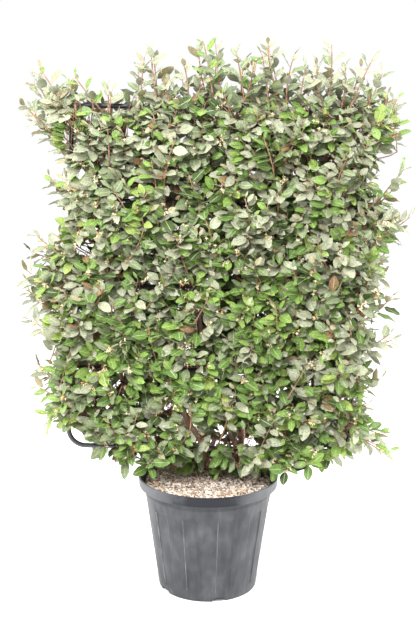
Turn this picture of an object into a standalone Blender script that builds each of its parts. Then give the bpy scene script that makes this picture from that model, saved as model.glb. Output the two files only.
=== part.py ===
"""A potted silverberry hedge panel: a shrub trained flat on a tube frame that stands in a nursery pot.

Metres, +Z up. The origin is the middle of the pot's flat underside. The panel faces -Y.
"""

import math
import random

import bmesh
import bpy
from mathutils import Matrix, Vector, noise
from mathutils.geometry import intersect_point_line

# Clearance between solids that touch in the real plant
GAP = 0.0003

# Pot: a 43 litre nursery container with a rim band, a plain collar and sunk flutes
POT_HEIGHT = 0.378
RIM_RADIUS = 0.228
RIM_BAND = 0.033
RIM_DRAFT = 0.0025
RIM_LIP = 0.0065
NECK_RADIUS = 0.209
BASE_RADIUS = 0.160
FOOT_CHAMFER = 0.004
COLLAR = 0.050
POT_WALL = 0.004
POT_FLOOR = 0.012
FLUTES = 11
FLUTE_PARTS = (0.0, 0.24, 0.48, 0.52, 0.96)
SUNK_PARTS = (3, 4)
FLUTE_DEPTH = 0.003
FLUTE_LOW = 0.030
FLUTE_EASE = 0.008
NOTCHES = 5
NOTCH_WIDTH = 0.045
NOTCH_HEIGHT = 0.010
NOTCH_DEPTH = 0.014
NOTCH_TURN = math.radians(-78.0)
NOTCH_STEPS = 6

# Potting mix, a little below the rim
SOIL_TOP = 0.362
SOIL_SHOULDER = 0.010
SOIL_SHOULDER_WIDTH = 0.016

# Frame of round tube with rounded corners, and three thinner rods across it
FRAME_WIDTH = 0.916
FRAME_LOW = 0.457
FRAME_HIGH = 1.551
TUBE_RADIUS = 0.0078
TUBE_SIDES = 10
ROD_RADIUS = 0.005
ROD_SIDES = 8
CORNER_RADIUS = 0.056
CORNER_STEPS = 5
ROD_HEIGHTS = (0.721, 0.992, 1.262)
LEG_SPREAD = 0.178

# The panel stands a little behind the pot's axis and leans to the right
PANEL_Y = 0.020
PANEL_LEAN = math.radians(1.4)

# Stems, as (x, y, z) in the panel's own upright frame
STEM_RADIUS = 0.0115
STEM_FLARE = 1.45
STEM_TIP_RADIUS = 0.0045
STEM_SIDES = 8
BOUGH_SIDES = 7
BOUGH_SHARE = 0.78
STUB_TAPER = 0.8
LEADER_X = (-0.300, -0.050, 0.140, 0.320)
LEADER_Y = 0.019
LEADER_FOOT = 0.740
LEADER_TOP = 1.500
LEADER_STEP = 0.095
LEADER_WANDER = 0.010
LEADER_RIPPLE = 1.3
LEADER_SET_BACK = 0.3

# Foliage: the panel's columns lie between the leaders and its rows between the rods
PANEL_HALF_WIDTH = 0.600
PANEL_HALF_DEPTH = 0.185
PANEL_TOP = 1.765
ROW_FOOT = (0.425, 0.430, 0.510, 0.445, 0.395)
SPACE_GAP = 0.0015
COLUMN_NAMES = ("far_left", "left", "centre", "right", "far_right")
ROW_NAMES = ("low", "lower", "upper", "top")
NEAR_ROOM = 0.06

# Outline of the crown on the panel's middle plane: x by height at the sides, and height by x on top
CROWN_LEFT = (
    (0.44, -0.42), (0.57, -0.52), (0.90, -0.56), (1.03, -0.59), (1.16, -0.51), (1.23, -0.48),
    (1.41, -0.51), (1.65, -0.58))
CROWN_RIGHT = (
    (0.41, 0.41), (0.53, 0.56), (0.67, 0.49), (0.87, 0.54), (1.00, 0.54), (1.19, 0.58), (1.38, 0.51),
    (1.51, 0.55), (1.65, 0.51))
CROWN_TOP = (
    (-0.58, 1.60), (-0.47, 1.60), (-0.43, 1.50), (-0.30, 1.50), (-0.24, 1.61), (0.06, 1.62),
    (0.46, 1.62), (0.53, 1.56))
CROWN_PROUD = 0.030

# Tips of the young shoots that stand above the crown, as (x, height)
SHOOT_TIPS = (
    (-0.545, 1.650), (-0.440, 1.630), (-0.347, 1.600), (-0.217, 1.730), (-0.120, 1.690), (-0.065, 1.750),
    (0.040, 1.720), (0.120, 1.758), (0.215, 1.716), (0.285, 1.703), (0.335, 1.752), (0.390, 1.690),
    (0.455, 1.720), (0.535, 1.620))
SHOOT_DEPTH = 0.058
SHOOT_TAPER = 0.6
SHOOT_LEAVES = 3
SHOOT_LEAF_SIZE = 0.7

# Leaves, which stand for small sprays
LEAF_LENGTH = 0.112
LEAF_WIDTH = 0.072
LEAF_THICKNESS = 0.004
LEAF_WIDEST = 0.46
LEAF_SIZES = (0.85, 1.12)
LEAF_SPREAD = (1.2, 2.6)
LEAF_RISE = 0.3
LEAF_OUTWARD = (0.8, 1.2)
LEAF_UPWARD = (0.1, 0.6)
LEAF_TRIES = 12
TRY_TURN = 0.55
FIRST_LEAF = 0.05
LEAF_STEP = 0.24
LEAF_CLEARANCE = 0.013
BLADE_CLEARANCE = 0.006
MOST_IN_LINE = 0.9
GOLDEN_ANGLE = math.radians(137.5)

# Twigs, placed by shares of a mass's space
TWIG_RADIUS = 0.0040
TWIG_SIDES = 3
TWIG_TAPER = 0.7
TWIG_ACROSS = (0.27, 0.73)
TWIG_LOW = 0.22
TWIG_HIGH = 0.86
TWIG_HIGH_IN_TOP_ROW = 0.52
TWIG_JITTER = (0.08, 0.03, 0.05)
TWIG_LEAVES = 3
FRONT_TWIGS = (0, 1, 2, 3)
FRONT_TWIG_DEPTH = 0.16
BACK_TWIGS = (0, 1, 2)
BACK_TWIG_DEPTH = 0.84
EDGE_TWIG_DEPTHS = (0.34, 0.66, 0.38, 0.62)
EDGE_TWIG_ROOM = 0.075
EDGE_LEAVES = 4

# Stem of a mass: the limb that carries it in each column, and how high it leaves in the low row
CARRIERS = ("far_left", "far_left", "left", "right", "far_right")
LOW_CARRIERS = ("far_left", "left", "middle", "right", "far_right")
LOW_STEM_HEIGHTS = (0.665, 0.600, 0.520, 0.620, 0.665)
MASS_STEM_RADIUS = 0.0045
MASS_STEM_SIDES = 5
MASS_STEM_RISE = 0.075

# Dense core of a mass
CORE_DEPTH = 0.078
CORE_HEART = 0.6
CORE_BACK_HEART = 0.75
CORE_EDGE_ROOM = 0.040
CORE_TOPS = (1.455, 1.545, 1.585, 1.600, 1.560)
CORE_SEAM = 0.007
CORE_STEP = 0.003
CORE_ROOM = 0.012
CORE_SIDE_ROOM = 0.026
CORE_RAGGED = 0.030
CORE_TWIG_ROOM = 0.022
CORE_CORNER = 0.74
CORE_BEVEL = 0.036
CORE_LUMP = 0.024
CORE_LUMPS_PER_METRE = 9.0
CORE_SEED = 3.1
LIMB_FRONT = -0.0125
LIMB_BACK = 0.042


def clear_scene():
    """Removes whatever the file opened with."""
    for obj in list(bpy.data.objects):
        bpy.data.objects.remove(obj, do_unlink=True)


def make_material(name, colour, roughness, metallic=0.0):
    """A plain Principled material."""
    material = bpy.data.materials.new(name)
    material.use_nodes = True
    shader = material.node_tree.nodes["Principled BSDF"]
    shader.inputs["Base Color"].default_value = (*colour, 1.0)
    shader.inputs["Roughness"].default_value = roughness
    shader.inputs["Metallic"].default_value = metallic
    return material


def make_object(name, verts, faces, material=None):
    """A mesh object from its points and faces, with the faces turned outward."""
    mesh = bpy.data.meshes.new(name)
    mesh.from_pydata([tuple(v) for v in verts], [], faces)
    bm = bmesh.new()
    bm.from_mesh(mesh)
    bmesh.ops.recalc_face_normals(bm, faces=bm.faces)
    bm.to_mesh(mesh)
    bm.free()
    if material:
        mesh.materials.append(material)
    obj = bpy.data.objects.new(name, mesh)
    bpy.context.scene.collection.objects.link(obj)
    return obj


def sweep(points, radii, sides, start_normal=None, end_normal=None):
    """Points and faces of a round limb along a path; an end can be cut along a given plane."""
    count = len(points)
    tangents = []
    for i in range(count):
        ahead = points[min(i + 1, count - 1)] - points[max(i - 1, 0)]
        tangents.append(ahead.normalized())
    side = tangents[0].orthogonal().normalized()
    verts = []
    for i, (point, tangent, radius) in enumerate(zip(points, tangents, radii)):
        side = (side - tangent * side.dot(tangent)).normalized()
        across = tangent.cross(side)
        cut = start_normal if i == 0 else end_normal if i == count - 1 else None
        for k in range(sides):
            turn = 2.0 * math.pi * k / sides
            offset = (side * math.cos(turn) + across * math.sin(turn)) * radius
            if cut is not None:
                offset -= tangent * (offset.dot(cut) / tangent.dot(cut))
            verts.append(point + offset)
    faces = [tuple(reversed(range(sides)))]
    for i in range(count - 1):
        for k in range(sides):
            a = i * sides + k
            b = i * sides + (k + 1) % sides
            faces.append((a, b, b + sides, a + sides))
    faces.append(tuple(range((count - 1) * sides, count * sides)))
    return verts, faces


def turned(profile, turns, relief=None):
    """Points and faces of a solid turned about Z; the profile starts and ends on the axis."""
    verts = [Vector((0.0, 0.0, profile[0][1]))]
    ring_profile = profile[1:-1]
    for row, (radius, height) in enumerate(ring_profile):
        for k, turn in enumerate(turns):
            r = radius - (relief(row, k) if relief else 0.0)
            verts.append(Vector((r * math.cos(turn), r * math.sin(turn), height)))
    verts.append(Vector((0.0, 0.0, profile[-1][1])))
    count = len(turns)
    faces = []
    for k in range(count):
        j = (k + 1) % count
        faces.append((0, 1 + j, 1 + k))
        for row in range(len(ring_profile) - 1):
            low = 1 + row * count
            faces.append((low + k, low + j, low + count + j, low + count + k))
        last = 1 + (len(ring_profile) - 1) * count
        faces.append((last + k, last + j, len(verts) - 1))
    return verts, faces


# Pot and potting mix

def wall_radius(height):
    """Outer radius of the pot's plain tapered wall."""
    neck = POT_HEIGHT - RIM_BAND
    return BASE_RADIUS + (NECK_RADIUS - BASE_RADIUS) * height / neck


def pot_turns():
    """Angles round the pot: a raised panel of two facets, then a sunk panel, for each flute."""
    pitch = 2.0 * math.pi / FLUTES
    return [pitch * (k + part) for k in range(FLUTES) for part in FLUTE_PARTS]


def make_pot(material):
    """The container, with flutes sunk in its wall and drain notches in its foot."""
    neck = POT_HEIGHT - RIM_BAND
    flute_high = neck - COLLAR
    outer = [
        (BASE_RADIUS - FOOT_CHAMFER, 0.0),
        (wall_radius(FOOT_CHAMFER), FOOT_CHAMFER),
        (wall_radius(FLUTE_LOW), FLUTE_LOW),
        (wall_radius(FLUTE_LOW + FLUTE_EASE), FLUTE_LOW + FLUTE_EASE),
        (wall_radius(flute_high - FLUTE_EASE), flute_high - FLUTE_EASE),
        (wall_radius(flute_high), flute_high),
        (NECK_RADIUS, neck),
        (RIM_RADIUS - RIM_DRAFT, neck),
        (RIM_RADIUS, POT_HEIGHT),
    ]
    inner = [
        (RIM_RADIUS - RIM_LIP, POT_HEIGHT),
        (NECK_RADIUS - POT_WALL, neck),
        (wall_radius(POT_FLOOR) - POT_WALL, POT_FLOOR),
    ]
    profile = [(0.0, 0.0)] + outer + inner + [(0.0, POT_FLOOR)]
    sunk_rows = (3, 4)

    def relief(row, k):
        return FLUTE_DEPTH if row in sunk_rows and k % len(FLUTE_PARTS) in SUNK_PARTS else 0.0

    pot = make_object("pot", *turned(profile, pot_turns(), relief), material)
    for k in range(NOTCHES):
        cut_notch(pot, NOTCH_TURN + 2.0 * math.pi * k / NOTCHES)
    return pot


def cut_notch(pot, turn):
    """Cuts one drain notch, an arch in the pot's bottom edge."""
    inner = BASE_RADIUS - NOTCH_DEPTH
    outer = BASE_RADIUS + NOTCH_DEPTH
    arch = [(-0.5 * NOTCH_WIDTH, -NOTCH_HEIGHT)]
    for k in range(NOTCH_STEPS + 1):
        along = math.pi * (1.0 - k / NOTCH_STEPS)
        arch.append((0.5 * NOTCH_WIDTH * math.cos(along), NOTCH_HEIGHT * math.sin(along)))
    arch.append((0.5 * NOTCH_WIDTH, -NOTCH_HEIGHT))
    count = len(arch)
    verts = [Vector((radius, across, height)) for radius in (inner, outer) for across, height in arch]
    faces = [tuple(range(count)), tuple(reversed(range(count, 2 * count)))]
    for k in range(count):
        j = (k + 1) % count
        faces.append((k, k + count, j + count, j))
    cutter = make_object("notch_cutter", verts, faces)
    cutter.rotation_euler = (0.0, 0.0, turn)
    boolean = pot.modifiers.new("notch", 'BOOLEAN')
    boolean.operation = 'DIFFERENCE'
    boolean.object = cutter
    apply_modifiers(pot)
    bpy.data.objects.remove(cutter, do_unlink=True)


def make_soil(material):
    """The mix that fills the pot, clear of its wall, with a flat top that slopes off at the edge."""
    shoulder = SOIL_TOP - SOIL_SHOULDER
    low = POT_FLOOR + GAP
    neck = POT_HEIGHT - RIM_BAND
    room = 2.0 * GAP
    inner_slope = (RIM_LIP - POT_WALL + NECK_RADIUS - RIM_RADIUS) / RIM_BAND
    shoulder_radius = NECK_RADIUS - POT_WALL - room - inner_slope * (shoulder - neck)
    profile = [
        (0.0, low),
        (wall_radius(low) - POT_WALL - room, low),
        (NECK_RADIUS - POT_WALL - room, neck),
        (shoulder_radius, shoulder),
        (shoulder_radius - SOIL_SHOULDER_WIDTH, SOIL_TOP),
        (0.0, SOIL_TOP),
    ]
    return make_object("soil", *turned(profile, pot_turns()), material)


# Frame

def make_panel_empty():
    """The upright frame of the panel, which leans as a whole about the soil's surface."""
    empty = bpy.data.objects.new("panel", None)
    empty.location = (-SOIL_TOP * math.tan(PANEL_LEAN), PANEL_Y, 0.0)
    empty.rotation_euler = (0.0, PANEL_LEAN, 0.0)
    bpy.context.scene.collection.objects.link(empty)
    return empty


def above_soil(x):
    """Height in the panel's frame, at x, of a point just clear of the level soil."""
    return (SOIL_TOP + GAP + x * math.sin(PANEL_LEAN)) / math.cos(PANEL_LEAN)


def make_straight(name, start, end, radius, sides, material, start_normal=None):
    """A straight bar with flat ends."""
    points = [Vector(start), Vector(end)]
    return make_object(name, *sweep(points, [radius, radius], sides, start_normal), material)


def make_frame(material, level):
    """Two uprights, two bars, four corner bends, three rods and two legs, each its own solid."""
    half = 0.5 * FRAME_WIDTH
    low = FRAME_LOW + CORNER_RADIUS
    high = FRAME_HIGH - CORNER_RADIUS
    run = half - CORNER_RADIUS
    pieces = []
    for name, x in (("left", -half), ("right", half)):
        pieces.append(make_straight(
            "frame_upright_" + name, (x, 0.0, low), (x, 0.0, high), TUBE_RADIUS, TUBE_SIDES,
            material))
    for name, z in (("bottom", FRAME_LOW), ("top", FRAME_HIGH)):
        pieces.append(make_straight(
            "frame_bar_" + name, (-run, 0.0, z), (run, 0.0, z), TUBE_RADIUS, TUBE_SIDES, material))
    for name, x_sign, z, z_sign in (
            ("top_left", -1, high, 1), ("top_right", 1, high, 1),
            ("bottom_left", -1, low, -1), ("bottom_right", 1, low, -1)):
        ease = GAP / CORNER_RADIUS
        points = []
        for k in range(CORNER_STEPS + 1):
            turn = ease + (0.5 * math.pi - 2.0 * ease) * k / CORNER_STEPS
            along = x_sign * (run + CORNER_RADIUS * math.cos(turn))
            up = z + z_sign * CORNER_RADIUS * math.sin(turn)
            points.append(Vector((along, 0.0, up)))
        pieces.append(make_object(
            "frame_corner_" + name,
            *sweep(points, [TUBE_RADIUS] * len(points), TUBE_SIDES, Vector((0, 0, 1)), Vector((1, 0, 0))),
            material))
    reach = half - TUBE_RADIUS - GAP
    for k, z in enumerate(ROD_HEIGHTS):
        pieces.append(make_straight(
            f"frame_rod_{k + 1}", (-reach, 0.0, z), (reach, 0.0, z), ROD_RADIUS, ROD_SIDES, material))
    leg_top = FRAME_LOW - TUBE_RADIUS - GAP
    for name, x in (("left", -LEG_SPREAD), ("right", LEG_SPREAD)):
        foot = above_soil(x)
        pieces.append(make_straight(
            "frame_leg_" + name, (x, 0.0, foot), (x, 0.0, leg_top), ROD_RADIUS, ROD_SIDES, material,
            level))
    return pieces


def frame_segments():
    """The frame's centre lines with their radii, which leaves keep clear of."""
    half = 0.5 * FRAME_WIDTH
    low = FRAME_LOW + CORNER_RADIUS
    high = FRAME_HIGH - CORNER_RADIUS
    run = half - CORNER_RADIUS
    lines = []
    for x in (-half, half):
        lines.append((Vector((x, 0, low)), Vector((x, 0, high)), TUBE_RADIUS))
        side = math.copysign(1.0, x)
        knee = CORNER_RADIUS * (1.0 - math.sqrt(0.5))
        for z, z_sign in ((low, -1.0), (high, 1.0)):
            bend = Vector((x - side * knee, 0, z + z_sign * (CORNER_RADIUS - knee)))
            lines.append((Vector((x, 0, z)), bend, TUBE_RADIUS))
            lines.append((bend, Vector((side * run, 0, z + z_sign * CORNER_RADIUS)), TUBE_RADIUS))
    for z in (FRAME_LOW, FRAME_HIGH):
        lines.append((Vector((-run, 0, z)), Vector((run, 0, z)), TUBE_RADIUS))
    for z in ROD_HEIGHTS:
        lines.append((Vector((-half, 0, z)), Vector((half, 0, z)), ROD_RADIUS))
    for x in (-LEG_SPREAD, LEG_SPREAD):
        lines.append((Vector((x, 0, SOIL_TOP)), Vector((x, 0, FRAME_LOW)), ROD_RADIUS))
    return lines


# Stems and boughs

class Limb:
    """A tapering limb: its path, its radii, and where a side shoot meets its surface."""

    def __init__(self, name, points, radii, sides, start_normal=None):
        self.name = name
        self.points = [Vector(p) for p in points]
        self.radii = radii
        self.sides = sides
        self.start_normal = start_normal

    def segments(self):
        ends = zip(self.points, self.points[1:], self.radii)
        return [(a, b, r) for a, b, r in ends]

    def at_height(self, z):
        """The point, direction and radius on the limb at a height."""
        for k, (low, high) in enumerate(zip(self.points, self.points[1:])):
            if low.z <= z <= high.z:
                share = (z - low.z) / (high.z - low.z)
                radius = self.radii[k] + (self.radii[k + 1] - self.radii[k]) * share
                return low.lerp(high, share), (high - low).normalized(), radius
        return self.points[-1], (self.points[-1] - self.points[-2]).normalized(), self.radii[-1]

    def socket(self, z, target):
        """Where a side shoot to the target starts, just off the bark, and the way its end is cut."""
        point, along, radius = self.at_height(z)
        out = target - point
        out = (out - along * out.dot(along)).normalized()
        return point + out * (radius + GAP), out

    def build(self, material):
        return make_object(
            self.name, *sweep(self.points, self.radii, self.sides, self.start_normal), material)


def leader_points(x, phase):
    """The upper run of a leader, behind the rods, wandering a little from side to side."""
    count = int((LEADER_TOP - LEADER_FOOT) / LEADER_STEP) + 1
    points = []
    for k in range(count):
        z = LEADER_FOOT + (LEADER_TOP - LEADER_FOOT) * k / (count - 1)
        sway = LEADER_WANDER * math.sin(phase + LEADER_RIPPLE * k)
        points.append((x + sway, LEADER_Y + LEADER_SET_BACK * abs(sway), z))
    return points


def tapered(count, base, tip, flare=1.0):
    """Radii from base to tip, with a flare in the first ring."""
    radii = [base + (tip - base) * k / (count - 1) for k in range(count)]
    radii[0] *= flare
    return radii


def make_limbs(level):
    """The two stems that rise from the soil, their side boughs and a pruned stub."""
    left_path = [(0.004, 0.050, above_soil(0.004)), (-0.004, 0.048, 0.400), (-0.018, 0.042, 0.450),
                 (-0.038, 0.034, 0.490), (-0.068, 0.028, 0.532), (-0.086, 0.022, 0.580),
                 (-0.078, 0.019, 0.650)]
    left_path += leader_points(LEADER_X[1], 0.4)
    right_path = [(0.088, 0.070, above_soil(0.088)), (0.094, 0.066, 0.405), (0.105, 0.056, 0.455),
                  (0.114, 0.042, 0.505), (0.122, 0.028, 0.590), (0.130, 0.020, 0.665)]
    right_path += leader_points(LEADER_X[2], 1.9)
    stem_left = Limb("stem_left", left_path,
                     tapered(len(left_path), STEM_RADIUS, STEM_TIP_RADIUS, STEM_FLARE), STEM_SIDES,
                     level)
    stem_right = Limb("stem_right", right_path,
                      tapered(len(right_path), STEM_RADIUS, STEM_TIP_RADIUS, STEM_FLARE), STEM_SIDES,
                      level)
    limbs = {"left": stem_left, "right": stem_right}
    boughs = (
        ("far_left", stem_left, 0.515, [(-0.130, 0.024, 0.560), (-0.215, 0.020, 0.598),
                                        (-0.278, 0.019, 0.650)], leader_points(LEADER_X[0], 3.1)),
        ("far_right", stem_right, 0.530, [(0.180, 0.026, 0.570), (0.252, 0.020, 0.605),
                                          (0.302, 0.019, 0.655)], leader_points(LEADER_X[3], 4.6)),
        ("middle", stem_right, 0.440, [(0.076, 0.040, 0.478), (0.062, 0.026, 0.520)], []),
        ("stub", stem_left, 0.430, [(0.012, 0.028, 0.462), (0.018, 0.022, 0.482)], []),
    )
    for name, parent, height, path, upper in boughs:
        start, out = parent.socket(height, Vector(path[0]))
        points = [start] + path + upper
        base = BOUGH_SHARE * parent.at_height(height)[2]
        tip = STUB_TAPER * base if name == "stub" else STEM_TIP_RADIUS
        limbs[name] = Limb("bough_" + name, points, tapered(len(points), base, tip), BOUGH_SIDES, out)
    return limbs


# Foliage

def outline(table, at):
    """The crown's edge at a height or at an x, along straight runs between the table's points."""
    for (start, low), (end, high) in zip(table, table[1:]):
        if at <= end:
            return low + (high - low) * max(0.0, (at - start) / (end - start))
    return table[-1][1]


def in_crown(points):
    """Whether the points lie within the crown's outline, or just outside it."""
    for point in points:
        if not outline(CROWN_LEFT, point.z) - CROWN_PROUD <= point.x:
            return False
        if not point.x <= outline(CROWN_RIGHT, point.z) + CROWN_PROUD:
            return False
        if point.z > outline(CROWN_TOP, point.x) + CROWN_PROUD:
            return False
    return True


def segment_gap(a, b, c, d):
    """Smallest distance between two straight runs, from samples along the first."""
    steps = 12
    best = (a - c).length
    for k in range(steps + 1):
        point = a.lerp(b, k / steps)
        near, share = intersect_point_line(point, c, d)
        if share < 0.0:
            near = c
        elif share > 1.0:
            near = d
        best = min(best, (point - near).length)
    return best


class Leaf:
    """A lozenge of eight faces, its root sunk in the twig."""

    def __init__(self, root, direction, normal, length):
        width = LEAF_WIDTH / LEAF_LENGTH * length
        side = direction.cross(normal).normalized()
        normal = side.cross(direction).normalized()
        middle = root + direction * (LEAF_WIDEST * length)
        self.root = root
        self.tip = root + direction * length
        self.rim = [middle + side * (0.5 * width), middle - side * (0.5 * width)]
        self.faces_mid = [middle + normal * (0.5 * LEAF_THICKNESS),
                          middle - normal * (0.5 * LEAF_THICKNESS)]

    def corners(self):
        return [self.root, self.tip] + self.rim + self.faces_mid

    def mesh(self):
        verts = self.corners()
        faces = []
        for end in (0, 1):
            for edge in (2, 3):
                for face in (4, 5):
                    faces.append((end, edge, face))
        return verts, faces

    def runs(self):
        """The blade's length and its width."""
        return (self.root, self.tip), (self.rim[0], self.rim[1])

    def edges(self):
        """The blade's four sides."""
        return [(end, rim) for end in (self.root, self.tip) for rim in self.rim]

    def clear_of(self, lines):
        """Whether the blade keeps off every limb near it."""
        runs = list(self.runs()) + self.edges()
        for c, d, radius in lines:
            for a, b in runs:
                if segment_gap(a, b, c, d) < radius + LEAF_CLEARANCE:
                    return False
        return True

    def apart_from(self, others):
        """Whether the blade's length and width keep off those of the others."""
        for other in others:
            for a, b in self.runs():
                for c, d in other.runs():
                    if segment_gap(a, b, c, d) < BLADE_CLEARANCE:
                        return False
        return True


class Space:
    """The box that one mass keeps to, in the panel's upright frame."""

    def __init__(self, column, row, low, high):
        self.name = f"foliage_{ROW_NAMES[row]}_{COLUMN_NAMES[column]}"
        self.column = column
        self.row = row
        self.low = Vector(low)
        self.high = Vector(high)
        self.is_low = row == 0
        self.is_top = row == len(ROW_NAMES) - 1

    def holds(self, points):
        return all(self.low[i] <= p[i] <= self.high[i] for p in points for i in range(3))

    def place(self, share):
        return Vector([self.low[i] + (self.high[i] - self.low[i]) * share[i] for i in range(3)])

    def sides_at(self, z, seam, room):
        """The left and the right of the mass at a height, drawn in to the crown's outline."""
        left = max(self.low.x + seam, outline(CROWN_LEFT, z) + room)
        right = min(self.high.x - seam, outline(CROWN_RIGHT, z) - room)
        return left, right

    def near(self, lines):
        """The lines that come near the box."""
        found = []
        for a, b, radius in lines:
            apart = False
            for i in range(3):
                if max(a[i], b[i]) < self.low[i] - NEAR_ROOM or min(a[i], b[i]) > self.high[i] + NEAR_ROOM:
                    apart = True
            if not apart:
                found.append((a, b, radius))
        return found


class Core:
    """The dense inside of a mass: full before and behind the limbs, with a waist between them."""

    def __init__(self, space):
        self.space = space
        self.foot = space.low.z + (CORE_RAGGED if space.is_low else CORE_SEAM)
        self.head = CORE_TOPS[space.column] if space.is_top else space.high.z - CORE_SEAM
        tube_side = 0.5 * FRAME_WIDTH - TUBE_RADIUS - CORE_ROOM
        top_bar = FRAME_HIGH - TUBE_RADIUS if space.is_top else space.high.z
        self.waist_sides = (max(space.low.x + CORE_SIDE_ROOM, -tube_side),
                            min(space.high.x - CORE_SIDE_ROOM, tube_side))
        self.waist_foot = max(space.low.z, FRAME_LOW + TUBE_RADIUS) + CORE_ROOM
        self.waist_head = min(self.head, top_bar) - CORE_ROOM
        self.has_back = not space.is_low
        self.seed = CORE_SEED * (space.column + space.row * len(COLUMN_NAMES))

    def middle(self):
        """Where the mass's own stem ends."""
        depth = 0.0 if self.has_back else -CORE_HEART * CORE_DEPTH
        return Vector((0.5 * sum(self.waist_sides), depth, 0.5 * (self.waist_foot + self.waist_head)))

    def full_sides(self, z):
        return self.space.sides_at(z, CORE_SEAM, CORE_EDGE_ROOM)

    def root_of(self, tip):
        """Where a twig to the given tip starts inside the core."""
        z = min(max(tip.z, self.foot + CORE_TWIG_ROOM), self.head - CORE_TWIG_ROOM)
        left, right = self.full_sides(z)
        x = min(max(tip.x, left + CORE_TWIG_ROOM), right - CORE_TWIG_ROOM)
        if tip.y <= 0.0:
            y = -CORE_HEART * CORE_DEPTH
        elif self.has_back:
            y = CORE_BACK_HEART * CORE_DEPTH
        else:
            y = LIMB_FRONT - 2.0 * TWIG_RADIUS
        return Vector((x, y, z))

    def ring(self, y, is_full, inset):
        """Eight corners round the core at one depth, lumpy where the ring is drawn in."""
        foot, head = (self.foot, self.head) if is_full else (self.waist_foot, self.waist_head)
        cut = CORE_CORNER
        corners = ((1.0, cut), (cut, 1.0), (-cut, 1.0), (-1.0, cut),
                   (-1.0, -cut), (-cut, -1.0), (cut, -1.0), (1.0, -cut))
        verts = []
        for across, up in corners:
            z = 0.5 * (foot + head) + up * (0.5 * (head - foot) - inset)
            left, right = self.full_sides(z) if is_full else self.waist_sides
            x = 0.5 * (left + right) + across * (0.5 * (right - left) - inset)
            place = Vector((CORE_LUMPS_PER_METRE * x, self.seed, CORE_LUMPS_PER_METRE * z))
            lump = noise.noise(place) if inset else 0.0
            verts.append(Vector((x, y + CORE_LUMP * lump, z)))
        return verts

    def mesh(self):
        """The rings joined from front to back."""
        rings = [self.ring(-CORE_DEPTH, True, CORE_BEVEL), self.ring(LIMB_FRONT, True, 0.0)]
        if self.has_back:
            rings += [self.ring(LIMB_FRONT + CORE_STEP, False, 0.0),
                      self.ring(LIMB_BACK - CORE_STEP, False, 0.0),
                      self.ring(LIMB_BACK, True, 0.0), self.ring(CORE_DEPTH, True, CORE_BEVEL)]
        count = len(rings[0])
        verts = [vert for ring in rings for vert in ring]
        faces = [tuple(range(count)), tuple(range(len(verts) - count, len(verts)))]
        for row in range(len(rings) - 1):
            for k in range(count):
                a = row * count + k
                b = row * count + (k + 1) % count
                faces.append((a, b, b + count, a + count))
        return verts, faces


def twig_leaves(rng, twig, outward, count, size, allowed, lines, others):
    """Adds leaves in a spiral along the outer part of a twig, with one at its tip."""
    start, end = twig
    along = (end - start).normalized()
    side = along.orthogonal().normalized()
    across = along.cross(side)
    up = Vector((0.0, 0.0, 1.0))
    phase = rng.uniform(0.0, 2.0 * math.pi)
    for k in range(count):
        root = end.lerp(start, FIRST_LEAF + LEAF_STEP * k)
        for attempt in range(LEAF_TRIES):
            turn = phase + GOLDEN_ANGLE * k + TRY_TURN * attempt * (-1) ** attempt
            radial = side * math.cos(turn) + across * math.sin(turn)
            direction = (along + radial * rng.uniform(*LEAF_SPREAD) + up * LEAF_RISE).normalized()
            facing = (outward * rng.uniform(*LEAF_OUTWARD) + up * rng.uniform(*LEAF_UPWARD)).normalized()
            length = size * rng.uniform(*LEAF_SIZES)
            if abs(direction.dot(facing)) > MOST_IN_LINE:
                continue
            leaf = Leaf(root, direction, facing, length)
            if allowed(leaf.corners()) and leaf.apart_from(others) and leaf.clear_of(lines):
                others.append(leaf)
                break


def twig_targets(rng, space):
    """Places that the twigs of a mass reach for, and the way they face."""
    jitter_x, jitter_y, jitter_z = TWIG_JITTER
    high = TWIG_HIGH_IN_TOP_ROW if space.is_top else TWIG_HIGH
    targets = []
    faces = ((-1.0, FRONT_TWIG_DEPTH, FRONT_TWIGS), (1.0, BACK_TWIG_DEPTH, BACK_TWIGS))
    for facing, depth, places in faces:
        for k in places:
            share = (TWIG_ACROSS[k % 2] + rng.uniform(-jitter_x, jitter_x),
                     depth + rng.uniform(-jitter_y, jitter_y),
                     (TWIG_LOW, high)[k // 2] + rng.uniform(-jitter_z, jitter_z))
            targets.append((space.place(share), Vector((0.0, facing, 0.0))))
    if space.column in (0, len(COLUMN_NAMES) - 1):
        facing = -1.0 if space.column == 0 else 1.0
        last = len(EDGE_TWIG_DEPTHS) - 1
        for k, depth in enumerate(EDGE_TWIG_DEPTHS):
            up = TWIG_LOW + (high - TWIG_LOW) * k / last + rng.uniform(-jitter_z, jitter_z)
            tip = space.place((0.5, depth, up))
            tip.x = space.sides_at(tip.z, 0.0, EDGE_TWIG_ROOM)[0 if facing < 0.0 else 1]
            targets.append((tip, Vector((facing, 0.0, 0.0))))
    return targets


def make_spaces():
    """The box of each mass, by column and row."""
    edges = (-PANEL_HALF_WIDTH,) + LEADER_X + (PANEL_HALF_WIDTH,)
    spaces = []
    for row in range(len(ROW_NAMES)):
        for column in range(len(COLUMN_NAMES)):
            foot = ROW_FOOT[column] if row == 0 else ROD_HEIGHTS[row - 1]
            head = PANEL_TOP if row == len(ROD_HEIGHTS) else ROD_HEIGHTS[row]
            low = (edges[column] + SPACE_GAP, -PANEL_HALF_DEPTH, foot + SPACE_GAP)
            high = (edges[column + 1] - SPACE_GAP, PANEL_HALF_DEPTH, head - SPACE_GAP)
            spaces.append(Space(column, row, low, high))
    return spaces


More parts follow.
